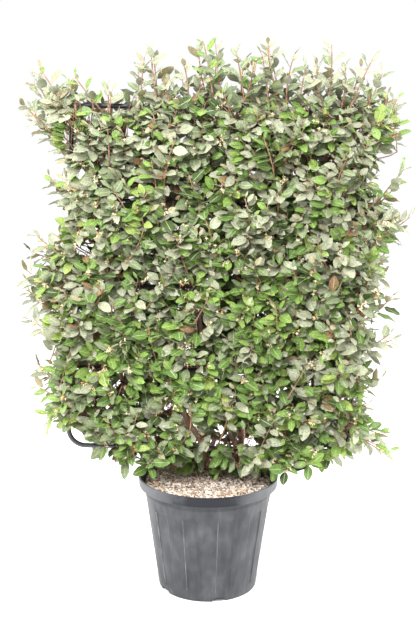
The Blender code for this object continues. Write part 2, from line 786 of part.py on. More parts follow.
def mass_stem(space, limbs):
    """The stem that carries a mass: its start on the limb's bark, its end in the core, its cut."""
    centre = Core(space).middle()
    limb = limbs[(LOW_CARRIERS if space.is_low else CARRIERS)[space.column]]
    if limb.name == "bough_middle":
        tip = limb.points[-1]
        out = (tip - limb.points[-2]).normalized()
        return tip + out * GAP, centre, out
    height = LOW_STEM_HEIGHTS[space.column] if space.is_low else space.low.z + MASS_STEM_RISE
    start, out = limb.socket(height, centre)
    return start, centre, out


def mass_pieces(rng, space, stem, lines):
    """Points and faces of the core, the stem, the twigs and the leaves of one mass."""
    start, centre, out = stem
    core = Core(space)
    elbow = start + out * (2.0 * MASS_STEM_RADIUS)
    radii = [MASS_STEM_RADIUS, MASS_STEM_RADIUS, TWIG_TAPER * MASS_STEM_RADIUS]
    pieces = [core.mesh(), sweep([start, elbow, centre], radii, MASS_STEM_SIDES, out)]
    leaves = []
    near_lines = space.near(lines)

    def allowed(points):
        return space.holds(points) and in_crown(points)

    for tip, outward in twig_targets(rng, space):
        root = core.root_of(tip)
        if not clear_twig(root, tip, near_lines):
            continue
        pieces.append(sweep([root, tip], [TWIG_RADIUS, TWIG_TAPER * TWIG_RADIUS], TWIG_SIDES))
        count = EDGE_LEAVES if outward.x else TWIG_LEAVES
        twig_leaves(rng, (root, tip), outward, count, LEAF_LENGTH, allowed, near_lines, leaves)
    if space.is_top:
        add_shoots(rng, space, core, near_lines, pieces, leaves)
    return pieces + [leaf.mesh() for leaf in leaves]


def clear_twig(root, tip, lines):
    """Whether a twig keeps off every limb near it."""
    return all(segment_gap(root, tip, c, d) > radius + 2.0 * TWIG_RADIUS for c, d, radius in lines)


def add_shoots(rng, space, core, lines, pieces, leaves):
    """Adds the young shoots that stand up above the top bar, and their leaves."""
    for k, (x, height) in enumerate(SHOOT_TIPS):
        if not space.low.x < x < space.high.x:
            continue
        facing = 1.0 if k % 2 else -1.0
        tip = Vector((x, facing * SHOOT_DEPTH, height))
        root = core.root_of(tip)
        if not clear_twig(root, tip, lines):
            continue
        pieces.append(sweep([root, tip], [TWIG_RADIUS, SHOOT_TAPER * TWIG_RADIUS], TWIG_SIDES))
        twig_leaves(rng, (root, tip), Vector((0.0, facing, 0.0)), SHOOT_LEAVES,
                    SHOOT_LEAF_SIZE * LEAF_LENGTH, space.holds, lines, leaves)


def apply_modifiers(obj):
    """Replaces the object's mesh by what its modifiers make of it."""
    graph = bpy.context.evaluated_depsgraph_get()
    graph.update()
    mesh = bpy.data.meshes.new_from_object(obj.evaluated_get(graph))
    obj.modifiers.clear()
    obj.data = mesh


def keep_outer_shell(mesh):
    """Keeps the largest closed shell: drops loose scraps and fills sealed hollows."""
    bm = bmesh.new()
    bm.from_mesh(mesh)
    left = set(bm.verts)
    shells = []
    while left:
        stack = [left.pop()]
        shell = list(stack)
        while stack:
            vert = stack.pop()
            for edge in vert.link_edges:
                other = edge.other_vert(vert)
                if other in left:
                    left.remove(other)
                    stack.append(other)
                    shell.append(other)
        shells.append(shell)
    shells.sort(key=len)
    scraps = [vert for shell in shells[:-1] for vert in shell]
    bmesh.ops.delete(bm, geom=scraps, context='VERTS')
    bm.to_mesh(mesh)
    bm.free()


def fuse(name, pieces, material):
    """One solid from many overlapping closed pieces, by one union on a collection."""
    body = make_object(name, *pieces[0], material)
    group = bpy.data.collections.new(name + "_pieces")
    bpy.context.scene.collection.children.link(group)
    for k, piece in enumerate(pieces[1:]):
        obj = make_object(f"{name}_{k}", *piece, material)
        bpy.context.scene.collection.objects.unlink(obj)
        group.objects.link(obj)
    boolean = body.modifiers.new("fuse", 'BOOLEAN')
    boolean.operation = 'UNION'
    boolean.operand_type = 'COLLECTION'
    boolean.collection = group
    boolean.solver = 'EXACT'
    apply_modifiers(body)
    for obj in list(group.objects):
        bpy.data.objects.remove(obj, do_unlink=True)
    bpy.data.collections.remove(group)
    keep_outer_shell(body.data)
    return body


def make_foliage(limbs, material, panel):
    """Every mass of foliage, each fused into one solid."""
    spaces = make_spaces()
    stems = [mass_stem(space, limbs) for space in spaces]
    lines = frame_segments()
    for limb in limbs.values():
        lines += limb.segments()
    for own, space in enumerate(spaces):
        others = [(start, end, MASS_STEM_RADIUS)
                  for k, (start, end, _) in enumerate(stems) if k != own]
        pieces = mass_pieces(random.Random(own), space, stems[own], lines + others)
        fuse(space.name, pieces, material).parent = panel


def main():
    clear_scene()
    plastic = make_material("pot_plastic", (0.045, 0.048, 0.052), 0.45)
    mix = make_material("potting_mix", (0.34, 0.24, 0.18), 0.95)
    steel = make_material("frame_paint", (0.03, 0.032, 0.035), 0.4)
    bark = make_material("bark", (0.20, 0.11, 0.07), 0.8)
    leaf = make_material("leaves", (0.22, 0.30, 0.16), 0.55)
    make_pot(plastic)
    make_soil(mix)
    panel = make_panel_empty()
    level = Matrix.Rotation(-PANEL_LEAN, 3, 'Y') @ Vector((0.0, 0.0, 1.0))
    for piece in make_frame(steel, level):
        piece.parent = panel
    limbs = make_limbs(level)
    for limb in limbs.values():
        limb.build(bark).parent = panel
    make_foliage(limbs, leaf, panel)


main()
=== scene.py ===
"""The looks of a potted silverberry hedge panel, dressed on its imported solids. Metres, +Z up."""

import math
import random
from itertools import product

import bmesh
import bpy
import numpy as np
from mathutils import Matrix, Vector, noise


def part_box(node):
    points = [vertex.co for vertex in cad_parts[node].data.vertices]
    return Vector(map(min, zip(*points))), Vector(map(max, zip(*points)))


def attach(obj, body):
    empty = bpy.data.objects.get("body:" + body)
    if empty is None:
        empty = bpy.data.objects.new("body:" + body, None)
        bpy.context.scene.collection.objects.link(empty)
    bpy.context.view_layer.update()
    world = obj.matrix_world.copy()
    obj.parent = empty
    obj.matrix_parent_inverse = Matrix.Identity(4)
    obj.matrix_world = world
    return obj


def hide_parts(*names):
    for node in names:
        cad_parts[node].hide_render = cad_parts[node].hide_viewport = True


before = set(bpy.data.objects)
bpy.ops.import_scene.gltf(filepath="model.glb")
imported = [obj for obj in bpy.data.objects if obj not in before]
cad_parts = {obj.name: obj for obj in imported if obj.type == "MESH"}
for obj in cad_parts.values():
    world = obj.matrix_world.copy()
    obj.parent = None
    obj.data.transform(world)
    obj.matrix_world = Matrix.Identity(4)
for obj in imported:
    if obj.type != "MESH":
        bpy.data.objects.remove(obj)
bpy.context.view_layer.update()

# The camera, where the photograph was taken from, and its image in pixels
IMAGE_HEIGHT = 624
FOCAL_PIXELS = 1193.0
CAMERA_PLACE = Vector((-0.098, -3.700, 1.712))
CAMERA_PITCH = math.radians(12.13)
CAMERA_YAW = math.radians(1.44)
CAMERA_ROLL = math.radians(0.47)
SENSOR = 36.0

# Sizes that the solids give
RIM_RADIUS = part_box("pot")[1].x
POT_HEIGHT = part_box("pot")[1].z
SOIL_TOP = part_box("soil")[1].z
TUBE_RADIUS = 0.0078
ROD_RADIUS = 0.005

# Pot
RIM_BAND = 0.033
RIM_DRAFT = 0.0025
RIM_LIP = 0.0065
RIM_ROUND = 0.0035
LINE_DROP = 0.021
NECK_RADIUS = 0.209
BASE_RADIUS = 0.160
COLLAR = 0.050
POT_WALL = 0.004
POT_FLOOR = 0.012
FLUTES = 11
FLUTE_DEPTH = 0.003
FLUTE_LOW = 0.030
FLUTE_EASE = 0.008
NOTCHES = 5
NOTCH_WIDTH = 0.045
NOTCH_HEIGHT = 0.012
NOTCH_DEPTH = 0.018
NOTCH_TURN = math.radians(-78.0)

# Frame and panel
FRAME_WIDTH = 0.916
FRAME_LOW = 0.457
FRAME_HIGH = 1.551
CORNER_RADIUS = 0.056
ROD_HEIGHTS = (0.721, 0.992, 1.262)
LEG_SPREAD = 0.178
TUBE_SIDES = 24
ROD_SIDES = 16
# Weld beads, as how far each ring lies inside the tube's surface and its radius
ROD_BEAD = ((0.003, 0.0072), (-0.0005, 0.0070), (-0.003, 0.0060), (-0.006, ROD_RADIUS))
LEG_BEAD = ((-0.006, ROD_RADIUS), (-0.003, 0.0060), (0.0005, 0.0070), (0.003, 0.0072))
PANEL_Y = 0.020
PANEL_LEAN = math.radians(1.4)
PANEL = (Matrix.Translation((-SOIL_TOP * math.tan(PANEL_LEAN), PANEL_Y, 0.0))
         @ Matrix.Rotation(PANEL_LEAN, 4, 'Y'))

# Limbs
STEM_RADIUS = 0.0115
STEM_FLARE = 1.45
STEM_TIP_RADIUS = 0.0045
LEADER_X = (-0.300, -0.050, 0.140, 0.320)
LEADER_Y = 0.019
LEADER_FOOT = 0.740
LEADER_TOP = 1.500
LEADER_STEP = 0.095
LEADER_WANDER = 0.010

# Spaces of the masses, in the panel's upright frame
PANEL_HALF_WIDTH = 0.605
PANEL_HALF_DEPTH = 0.185
PANEL_TOP = 1.765
ROW_FOOT = (0.425, 0.430, 0.510, 0.445, 0.395)
COLUMN_NAMES = ("far_left", "left", "centre", "right", "far_right")
ROW_NAMES = ("low", "lower", "upper", "top")
SURFACE_DEPTH = 0.112


# Tables of places, given in millimetres

def metres(*rows):
    return tuple(tuple(value / 1000 for value in row) for row in rows)


# Outline of the dense foliage on the panel's middle plane: x by height at the sides,
# height by x below and above
LEFT_EDGE = metres(
    (440, -400), (510, -450), (570, -490), (640, -510), (770, -510), (900, -520), (970, -540), (1030, -560),
    (1100, -530), (1160, -500), (1230, -460), (1290, -480), (1350, -485), (1410, -465), (1470, -460),
    (1530, -500), (1650, -540))
RIGHT_EDGE = metres(
    (410, 380), (460, 460), (530, 540), (600, 515), (670, 465), (740, 515), (800, 475), (870, 520),
    (930, 465), (1000, 530), (1070, 535), (1140, 540), (1200, 560), (1260, 570), (1320, 500), (1380, 485),
    (1440, 490), (1510, 530), (1570, 530), (1650, 520))
LOW_EDGE = metres(
    (-560, 610), (-500, 550), (-450, 490), (-360, 445), (-300, 415), (-250, 380), (-200, 370), (-150, 382),
    (-90, 398), (-30, 412), (20, 408), (70, 392), (200, 370), (240, 370), (330, 390), (420, 430), (470, 480),
    (510, 510), (560, 560))
TOP_EDGE = metres(
    (-570, 1565), (-480, 1560), (-450, 1530), (-420, 1545), (-360, 1550), (-300, 1530), (-260, 1540),
    (-190, 1585), (-100, 1550), (-10, 1580), (60, 1565), (150, 1590), (270, 1570), (410, 1575), (460, 1590),
    (530, 1575), (560, 1540))

# Tall young shoots, as (x, height) of the tip and of the foot
TALL_SHOOTS = metres(
    (-550, 1655, -450, 1480), (-567, 1600, -489, 1420), (-465, 1625, -441, 1500), (-444, 1635, -357, 1530),
    (-347, 1610, -354, 1480), (-217, 1730, -187, 1540), (-237, 1700, -251, 1480), (-120, 1690, -104, 1540),
    (-178, 1650, -137, 1530), (-61, 1755, -24, 1570), (-22, 1743, 7, 1560), (40, 1722, 73, 1560),
    (96, 1690, 98, 1550), (118, 1720, 150, 1550), (134, 1765, 188, 1570), (215, 1716, 200, 1560),
    (253, 1690, 238, 1550), (289, 1703, 286, 1560), (328, 1756, 319, 1560), (373, 1690, 360, 1540),
    (455, 1721, 389, 1550), (490, 1675, 404, 1500), (535, 1600, 462, 1470))

# Shoots that reach beyond the sides, as (x, height) of the tip and of the foot
SIDE_SHOOTS = metres(
    (-600, 1555, -500, 1460), (-515, 1470, -450, 1390), (-520, 1330, -440, 1230), (-560, 1145, -450, 1060),
    (-598, 1040, -480, 960), (-590, 975, -470, 900), (-580, 880, -470, 800), (-560, 730, -460, 650),
    (-550, 660, -440, 600), (575, 1385, 490, 1270), (605, 1235, 500, 1160), (560, 985, 470, 900),
    (560, 865, 470, 800), (545, 710, 440, 640), (505, 630, 425, 550), (565, 520, 450, 560),
    (580, 480, 460, 530), (-530, 560, -430, 600))

# Low shoots over the mix, as the foot and the tip in the part's frame
BASE_SHOOTS = metres(
    (85, 60, 372, 30, -30, 398), (88, 60, 375, 60, -20, 415), (92, 65, 372, 130, -30, 405),
    (95, 70, 380, 170, 0, 430), (90, 75, 372, 185, 60, 410), (4, 50, 372, -50, -10, 405),
    (0, 55, 380, -90, 20, 425), (0, 55, 372, -130, 30, 410), (100, 55, 400, 48, -30, 462),
    (104, 50, 410, 152, -30, 460), (2, 50, 395, 34, -25, 450), (110, 60, 390, 200, -30, 425),
    (-4, 45, 400, -50, -30, 452), (-4, 48, 395, -85, -30, 440), (102, 55, 400, 75, -45, 440),
    (10, 60, 400, 45, 50, 462), (98, 55, 410, 62, -30, 470), (0, 50, 410, 12, -30, 468),
    (0, 50, 400, -12, -35, 464), (102, 55, 405, 90, -35, 464), (110, 55, 405, 110, -30, 460))

# Places with nothing between the camera and the sky, as (x, z, half width, half height)
SKY_GAPS = metres(
    (-403, 1512, 20, 9), (-280, 1473, 15, 16), (-224, 1457, 7, 19), (-378, 1446, 8, 10), (-361, 1363, 10, 10),
    (-408, 1408, 9, 7), (-420, 1345, 15, 9), (-113, 1460, 9, 14), (18, 1543, 6, 5), (54, 1544, 7, 5),
    (135, 1599, 5, 7), (434, 1505, 6, 9), (525, 1350, 22, 26), (-392, 1127, 18, 11), (-412, 1095, 12, 10),
    (-446, 1108, 5, 7), (-373, 1172, 9, 7), (-430, 488, 20, 24), (-349, 473, 7, 8), (-329, 589, 10, 11),
    (-237, 417, 6, 11), (140, 482, 24, 16), (323, 688, 10, 8), (445, 633, 7, 13), (388, 466, 10, 8),
    (41, 513, 8, 24), (85, 467, 5, 6), (-159, 810, 7, 12), (-117, 1176, 8, 8), (-199, 1312, 7, 9),
    (-294, 1040, 8, 6), (-95, 936, 7, 8), (-146, 1114, 5, 8))

# Places where the frame or a leader shows between the leaves, as (x, z, half width, half height)
BARE_PLACES = metres(
    (-355, 1551, 92, 10), (-444, 1545, 16, 12), (-459, 1480, 10, 55), (458, 875, 6, 35), (458, 540, 8, 50),
    (-448, 480, 14, 28), (-360, 457, 62, 8), (-290, 1262, 22, 8), (-145, 1262, 14, 8), (75, 1262, 24, 8),
    (-207, 992, 14, 8), (-85, 992, 24, 8), (-390, 721, 56, 8), (-72, 721, 20, 8), (-45, 880, 10, 48),
    (-290, 664, 18, 34), (-134, 590, 16, 24), (-75, 553, 18, 26))

# Foliage
SHOOT_SPACING = 0.045
INNER_SPACING = 0.047
RUNNER_SPACING = 0.140
CREST_SPACING = 0.088
LEAF_LENGTH = 0.051
LEAF_RATIO = 0.60
LEAF_SPACING = 0.0125
PETIOLE = 0.007
LEAF_ROOM = 0.0108
FOOT_ROOM = 0.035
TWIG_CLEARANCE = 0.002
LEAF_CLEARANCE = 0.0015
LEAF_TRIES = 6
TRY_TURN = 0.9
GOLDEN_ANGLE = math.radians(137.5)
BLADE_SHARP = math.radians(70)
PIECE_SHARP = math.radians(50)
POT_SHARP = math.radians(38)

# How far the tips of each kind of shoot keep inside the outline, and the deepest tip
OUTER_MARGIN = 0.026
RUNNER_MARGIN = 0.035
INNER_MARGIN = 0.045
DEEPEST_TIP = 0.160

# How far a blade may pass the masses' spaces, and the room it leaves to bare stems and the pot
SPARE_WIDTH = 0.018
SPARE_DEPTH = 0.006
SPARE_TOP = 0.012
STEM_VIEW_ROOM = (0.011, 0.019, 0.011)
BAR_VIEW_ROOM = 0.019
RIM_ROOM = (0.022, 0.006, 0.004)
MIX_ROOM = 0.006

# Radius of a branch that carries one shoot, and the power by which it grows with its load
BRANCH_RADIUS = 0.0017
BRANCH_POWER = 0.36

# Heights between which colours and sizes change, and the length of a shoot's young part
FOLIAGE_LOW = 0.40
FOLIAGE_SPAN = 1.25
YOUNG_LENGTH = 0.030
YOUNG_LENGTH_TALL = 0.055

# Seeds of the random draws
CHIP_SEED = 11
MASS_SEED = 1000
BASE_SEED = 5
BLOSSOM_SEED = 77


# Small helpers

def unit(v):
    """Rows of a numpy array at length one."""
    return v / np.maximum(np.linalg.norm(v, axis=-1, keepdims=True), 1e-9)


class Batch:
    """Points and faces of many small shapes that become one piece."""

    def __init__(self):
        self.points = []
        self.faces = []
        self.slots = []
        self.count = 0

    def add_points(self, points):
        """Adds points; returns the number of the first."""
        points = np.asarray(points, float).reshape(-1, 3)
        self.points.append(points)
        self.count += len(points)
        return self.count - len(points)

    def add_faces(self, faces, offset, slots=0):
        """Adds faces of one corner count, numbered from the offset."""
        faces = np.asarray(faces, int)
        self.faces.append(faces + offset)
        self.slots.append(np.broadcast_to(np.asarray(slots), (len(faces),)).copy())

    def add(self, points, faces, slots=0):
        """Adds points and the faces on them; returns the number of the first point."""
        start = self.add_points(points)
        self.add_faces(faces, start, slots)
        return start

    def build(self, name, materials, in_panel=True, sharp=None, smooth=True):
        """The joined piece, as a new object."""
        points = np.concatenate(self.points)
        if in_panel:
            turn = np.array(PANEL.to_3x3())
            points = points @ turn.T + np.array(PANEL.translation)
        loops = np.concatenate([f.ravel() for f in self.faces])
        sizes = np.concatenate([np.full(len(f), f.shape[1]) for f in self.faces])
        slots = np.concatenate(self.slots)
        mesh = bpy.data.meshes.new(name)
        mesh.vertices.add(len(points))
        mesh.vertices.foreach_set("co", points.ravel().astype(np.float32))
        mesh.loops.add(len(loops))
        mesh.loops.foreach_set("vertex_index", loops.astype(np.int32))
        mesh.polygons.add(len(sizes))
        starts = np.concatenate(([0], np.cumsum(sizes)[:-1]))
        mesh.polygons.foreach_set("loop_start", starts.astype(np.int32))
        mesh.polygons.foreach_set("material_index", slots.astype(np.int32))
        mesh.polygons.foreach_set("use_smooth", np.full(len(sizes), smooth))
        mesh.update(calc_edges=True)
        if sharp is not None:
            mesh.set_sharp_from_angle(angle=sharp)
        return make_piece(name, mesh, materials)


def make_piece(name, mesh, materials):
    """A new object of a mesh and its materials."""
    for material in materials:
        mesh.materials.append(material)
    return link_object(name, mesh)


def link_object(name, data):
    obj = bpy.data.objects.new(name, data)
    bpy.context.scene.collection.objects.link(obj)
    return obj


def outward_normals(mesh):
    """Turns a closed mesh's faces outward."""
    bm = bmesh.new()
    bm.from_mesh(mesh)
    bmesh.ops.recalc_face_normals(bm, faces=bm.faces)
    bm.to_mesh(mesh)
    bm.free()


def ring_quads(rings, sides, flip=False):
    """The faces between the rings of a tube, ring after ring."""
    around = np.arange(sides)
    following = (around + 1) % sides
    first = sides * np.arange(rings - 1)[:, None]
    second = first + sides
    corners = [first + around, first + following, second + following, second + around]
    if flip:
        corners = [corners[0]] + corners[:0:-1]
    return np.stack(corners, 2).reshape(-1, 4)


def tubes(batch, paths, radii, sides):
    """Round shoots along paths: paths (n, k, 3), radii (n, k)."""
    paths = np.asarray(paths, float)
    radii = np.asarray(radii, float)
    n, k, _ = paths.shape
    ahead = np.concatenate([paths[:, 1:], paths[:, -1:]], 1)
    behind = np.concatenate([paths[:, :1], paths[:, :-1]], 1)
    tangents = unit(ahead - behind)
    side = np.eye(3)[np.abs(tangents[:, 0]).argmin(axis=1)]
    turns = math.tau * np.arange(sides) / sides
    rings = []
    for i in range(k):
        t = tangents[:, i]
        side = unit(side - t * (side * t).sum(1, keepdims=True))
        across = np.cross(t, side)
        offsets = side[:, None] * np.cos(turns)[:, None] + across[:, None] * np.sin(turns)[:, None]
        rings.append(paths[:, i, None] + offsets * radii[:, i, None, None])
    shifts = (np.arange(n) * k * sides)[:, None, None]
    quads = ring_quads(k, sides)[None] + shifts
    start = batch.add(np.stack(rings, 1), quads.reshape(-1, 4))
    around = np.arange(sides)
    caps = np.stack([around[::-1], (k - 1) * sides + around])[None] + shifts
    batch.add_faces(caps.reshape(-1, sides), start)


# Materials

class Tree:
    """A new material and the nodes round its Principled shader."""

    def __init__(self, name):
        self.material = bpy.data.materials.new(name)
        self.material.use_nodes = True
        self.nodes = self.material.node_tree.nodes
        self.shader = self.nodes["Principled BSDF"]

    def link(self, source, socket):
        self.material.node_tree.links.new(source, socket)

    def node(self, kind, **values):
        """A new node; an underscore in a value's name stands for a space."""
        made = self.nodes.new("ShaderNode" + kind)
        for name, value in values.items():
            made.inputs[name.replace("_", " ")].default_value = value
        return made

    def coords(self):
        return self.node("TexCoord").outputs["Object"]

    def noise(self, scale, detail=2.0, stretch=(1.0, 1.0, 1.0)):
        mapping = self.node("Mapping", Scale=stretch)
        texture = self.node("TexNoise", Scale=scale, Detail=detail)
        self.link(self.coords(), mapping.inputs["Vector"])
        self.link(mapping.outputs["Vector"], texture.inputs["Vector"])
        return texture.outputs["Fac"]

    def ramp(self, source, *stops):
        """Colours by a value: each stop is a place and a colour."""
        node = self.node("ValToRGB")
        elements = node.color_ramp.elements
        while len(elements) < len(stops):
            elements.new(0.5)
        for element, (place, colour) in zip(elements, stops):
            element.position = place
            element.color = (*colour, 1.0)
        self.link(source, node.inputs["Fac"])
        return node.outputs["Color"]

    def span(self, source, **ends):
        """A value moved from one range to another."""
        node = self.node("MapRange", **ends)
        self.link(source, node.inputs["Value"])
        return node.outputs["Result"]

    def maths(self, operation, first, second):
        """A sum on an output and an output or a number."""
        node = self.node("Math")
        node.operation = operation
        for socket, value in zip(node.inputs, (first, second)):
            if isinstance(value, float):
                socket.default_value = value
            else:
                self.link(value, socket)
        return node.outputs["Value"]

    def bump(self, source, strength, distance):
        node = self.node("Bump", Strength=strength, Distance=distance)
        self.link(source, node.inputs["Height"])
        self.link(node.outputs["Normal"], self.shader.inputs["Normal"])


def surface(name, low, high, scale, roughness, bump=0.3, bump_scale=None, bump_distance=0.0004,
            stretch=(1.0, 1.0, 1.0), window=(0.35, 0.65), specular=0.5):
    """A Principled surface that wanders between two colours, with a fine relief."""
    tree = Tree(name)
    colour = tree.ramp(tree.noise(scale, 3.0, stretch), (window[0], low), (window[1], high))
    tree.link(colour, tree.shader.inputs["Base Color"])
    tree.shader.inputs["Roughness"].default_value = roughness
    tree.shader.inputs["Specular IOR Level"].default_value = specular
    tree.bump(tree.noise(bump_scale or 6.0 * scale, 2.0, stretch), bump, bump_distance)
    return tree.material


def leaf_surface(name, colour, roughness, speckle=0.22):
    """A leathery blade: soft mottling, with pale scales strewn over it."""
    low = tuple(c * (1.0 - speckle) for c in colour)
    high = tuple(min(1.0, c * (1.0 + speckle) + 0.02) for c in colour)
    return surface(name, low, high, 210.0, roughness, bump=0.25, bump_scale=520.0,
                   bump_distance=0.0003, window=(0.38, 0.64), specular=0.24)


LEAF_COLOURS = {
    "silver": (0.276, 0.290, 0.198),
    "pale": (0.312, 0.322, 0.222),
    "grey": (0.176, 0.214, 0.112),
    "green": (0.102, 0.180, 0.035),
    "fresh": (0.168, 0.272, 0.050),
    "lime": (0.240, 0.322, 0.072),
    # deep is a dark leaf green with shade painted into it; on the inner leaves it is painted shade for the
    # dark inside of a mass
    "deep": (0.043, 0.071, 0.015),
    "bronze": (0.300, 0.265, 0.160),
    "dead": (0.215, 0.120, 0.058),
}
UNDER_COLOURS = {
    "under_silver": (0.325, 0.345, 0.240),
    "under_bronze": (0.300, 0.260, 0.145),
}
LEAF_SLOTS = list(LEAF_COLOURS) + list(UNDER_COLOURS) + ["rib"]


def leaf_materials():
    """The leaves' surfaces, in the order of LEAF_SLOTS."""
    made = []
    for name, colour in LEAF_COLOURS.items():
        made.append(leaf_surface("leaf_" + name, colour, 0.42 if name in ("green", "deep") else 0.5))
    for name, colour in UNDER_COLOURS.items():
        made.append(leaf_surface("leaf_" + name, colour, 0.6, 0.12))
    made.append(surface("leaf_rib", (0.30, 0.37, 0.16), (0.42, 0.48, 0.25), 120.0, 0.5))
    return made


# Building the frame

def frame_line():
    """The closed line of the bent tube, in the panel's frame."""
    half = 0.5 * FRAME_WIDTH
    low = FRAME_LOW + CORNER_RADIUS
    high = FRAME_HIGH - CORNER_RADIUS
    run = half - CORNER_RADIUS
    steps = 12
    points = []
    for x, z, begin in ((run, high, 0.0), (-run, high, 0.5), (-run, low, 1.0), (run, low, 1.5)):
        for k in range(steps + 1):
            turn = math.pi * (begin + 0.5 * k / steps)
            points.append((x + CORNER_RADIUS * math.cos(turn), 0.0, z + CORNER_RADIUS * math.sin(turn)))
    return points


def ring_tube(batch, points, radius, sides):
    """A closed loop of round tube that lies in the panel's plane."""
    points = np.array(points)
    tangents = unit(np.roll(points, -1, 0) - np.roll(points, 1, 0))
    depth = np.array([0.0, 1.0, 0.0])
    outs = np.cross(tangents, depth)
    turns = math.tau * np.arange(sides) / sides
    offsets = outs[:, None] * np.cos(turns)[:, None] + depth * np.sin(turns)[:, None]
    rings = len(points)
    batch.add(points[:, None] + offsets * radius, ring_quads(rings + 1, sides, True) % (rings * sides))


def above_soil(x):
    """The height of the mix's surface at an x, in the panel's frame."""
    return (SOIL_TOP + 0.0003 + x * math.sin(PANEL_LEAN)) / math.cos(PANEL_LEAN)


def round_bar(batch, rings):
    """A thin bar in the panel's plane, from rings of x, z and radius."""
    tubes(batch, [[(x, 0.0, z) for x, z, _ in rings]], [[radius for _, _, radius in rings]], ROD_SIDES)


def make_frame():
    """The bent tube, its rods with their weld beads, and the legs."""
    paint = surface("frame_paint", (0.022, 0.023, 0.026), (0.040, 0.042, 0.046), 60.0, 0.38,
                    bump=0.15, bump_scale=420.0)
    half = 0.5 * FRAME_WIDTH
    foot = FRAME_LOW - TUBE_RADIUS
    tube, rods, legs = Batch(), Batch(), Batch()
    ring_tube(tube, frame_line(), TUBE_RADIUS, TUBE_SIDES)
    for z in ROD_HEIGHTS:
        round_bar(rods, [(x, z, ROD_RADIUS) for x in np.linspace(-half, half, 9)])
        for side in (-1.0, 1.0):
            end = side * (half - TUBE_RADIUS)
            round_bar(rods, [(end + side * into, z, radius) for into, radius in ROD_BEAD])
    for x in (-LEG_SPREAD, LEG_SPREAD):
        round_bar(legs, [(x, z, ROD_RADIUS) for z in (above_soil(x) - 0.004, 0.40, 0.43, foot + 0.002)])
        round_bar(legs, [(x, foot + into, radius) for into, radius in LEG_BEAD])
    loop_nodes = ["frame_" + name for name in (
        "upright_left", "upright_right", "bar_top", "bar_bottom", "corner_top_left",
        "corner_top_right", "corner_bottom_left", "corner_bottom_right")]
    pieces = []
    for batch, name, sharp, nodes in (
            (tube, "frame_tube", None, loop_nodes),
            (rods, "frame_rods", PIECE_SHARP, ["frame_rod_1", "frame_rod_2", "frame_rod_3"]),
            (legs, "frame_legs", PIECE_SHARP, ["frame_leg_left", "frame_leg_right"])):
        piece = batch.build(name, [paint], sharp=sharp)
        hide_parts(*nodes)
        pieces.append(piece)
    return pieces


# Building the pot

def wall_radius(height):
    """The radius of the plain wall at a height."""
    return BASE_RADIUS + (NECK_RADIUS - BASE_RADIUS) * height / (POT_HEIGHT - RIM_BAND)


def smoothstep(low, high, x):
    t = min(max((x - low) / (high - low), 0.0), 1.0)
    return t * t * (3.0 - 2.0 * t)


def flute_share(turn):
    """How far the wall is sunk at an angle: 0 on a raised panel, 1 in a sunk one."""
    pitch = math.tau / FLUTES
    at = (turn / pitch) % 1.0
    return smoothstep(0.484, 0.512, at) * (1.0 - smoothstep(0.960, 0.988, at))


# Places round one flute's pitch where the wall has points, and the steps there that get a painted highlight:
# lighter plastic that stands in for the shine along one edge of each flute
POT_PARTS = (0.0, 0.05, 0.11, 0.17, 0.24, 0.31, 0.37, 0.43, 0.470, 0.484, 0.493, 0.503, 0.512, 0.526,
             0.57, 0.63, 0.70, 0.77, 0.83, 0.89, 0.940, 0.960, 0.969, 0.979, 0.988)
FLUTE_STEPS = (9, 10)


def pot_turns():
    """Angles round the pot, closer together where the wall steps in and out."""
    pitch = math.tau / FLUTES
    return [pitch * (k + part) for k in range(FLUTES) for part in POT_PARTS]


def pot_profile():
    """The pot's section from the middle of its underside, round the wall, to the floor inside."""
    neck = POT_HEIGHT - RIM_BAND
    flute_high = neck - COLLAR
    outer = [(BASE_RADIUS - 0.004, 0.0), (BASE_RADIUS - 0.0015, 0.0008), (wall_radius(0.004), 0.004)]
    outer += [(wall_radius(z), z) for z in (0.009, 0.018, 0.027, FLUTE_LOW, 0.034, FLUTE_LOW + FLUTE_EASE)]
    eased = np.linspace(FLUTE_LOW + FLUTE_EASE, flute_high - FLUTE_EASE, 9)
    outer += [(wall_radius(z), z) for z in eased[1:]]
    outer += [(wall_radius(flute_high - 0.004), flute_high - 0.004), (wall_radius(flute_high), flute_high)]
    line = neck - LINE_DROP
    for drop, out in ((0.003, 0.0), (0.0012, 0.0007), (-0.0012, 0.0007), (-0.003, 0.0)):
        outer.append((wall_radius(line - drop) + out, line - drop))
    outer += [(wall_radius(neck - 0.002), neck - 0.002), (NECK_RADIUS + 0.0008, neck)]
    band = RIM_RADIUS - RIM_DRAFT
    outer += [(band - 0.0018, neck), (band, neck + 0.0018), (band + 0.0006, neck + 0.009)]
    outer += [(RIM_RADIUS - 0.0006, POT_HEIGHT - 0.007), (RIM_RADIUS, POT_HEIGHT - RIM_ROUND)]
    rim_middle = RIM_RADIUS - 0.5 * RIM_LIP
    for k in range(1, 6):
        turn = math.pi * k / 6.0
        outer.append((rim_middle + 0.5 * RIM_LIP * math.cos(turn),
                      POT_HEIGHT - RIM_ROUND * (1 - math.sin(turn))))
    lip = RIM_RADIUS - RIM_LIP
    inner = [(lip, POT_HEIGHT - RIM_ROUND), (lip - 0.001, POT_HEIGHT - 0.015), (NECK_RADIUS - POT_WALL, neck)]
    inner += [(wall_radius(z) - POT_WALL - 0.0005, z) for z in (0.25, 0.15, 0.06)]
    inner += [(wall_radius(POT_FLOOR) - POT_WALL - 0.003, POT_FLOOR)]
    return outer, inner


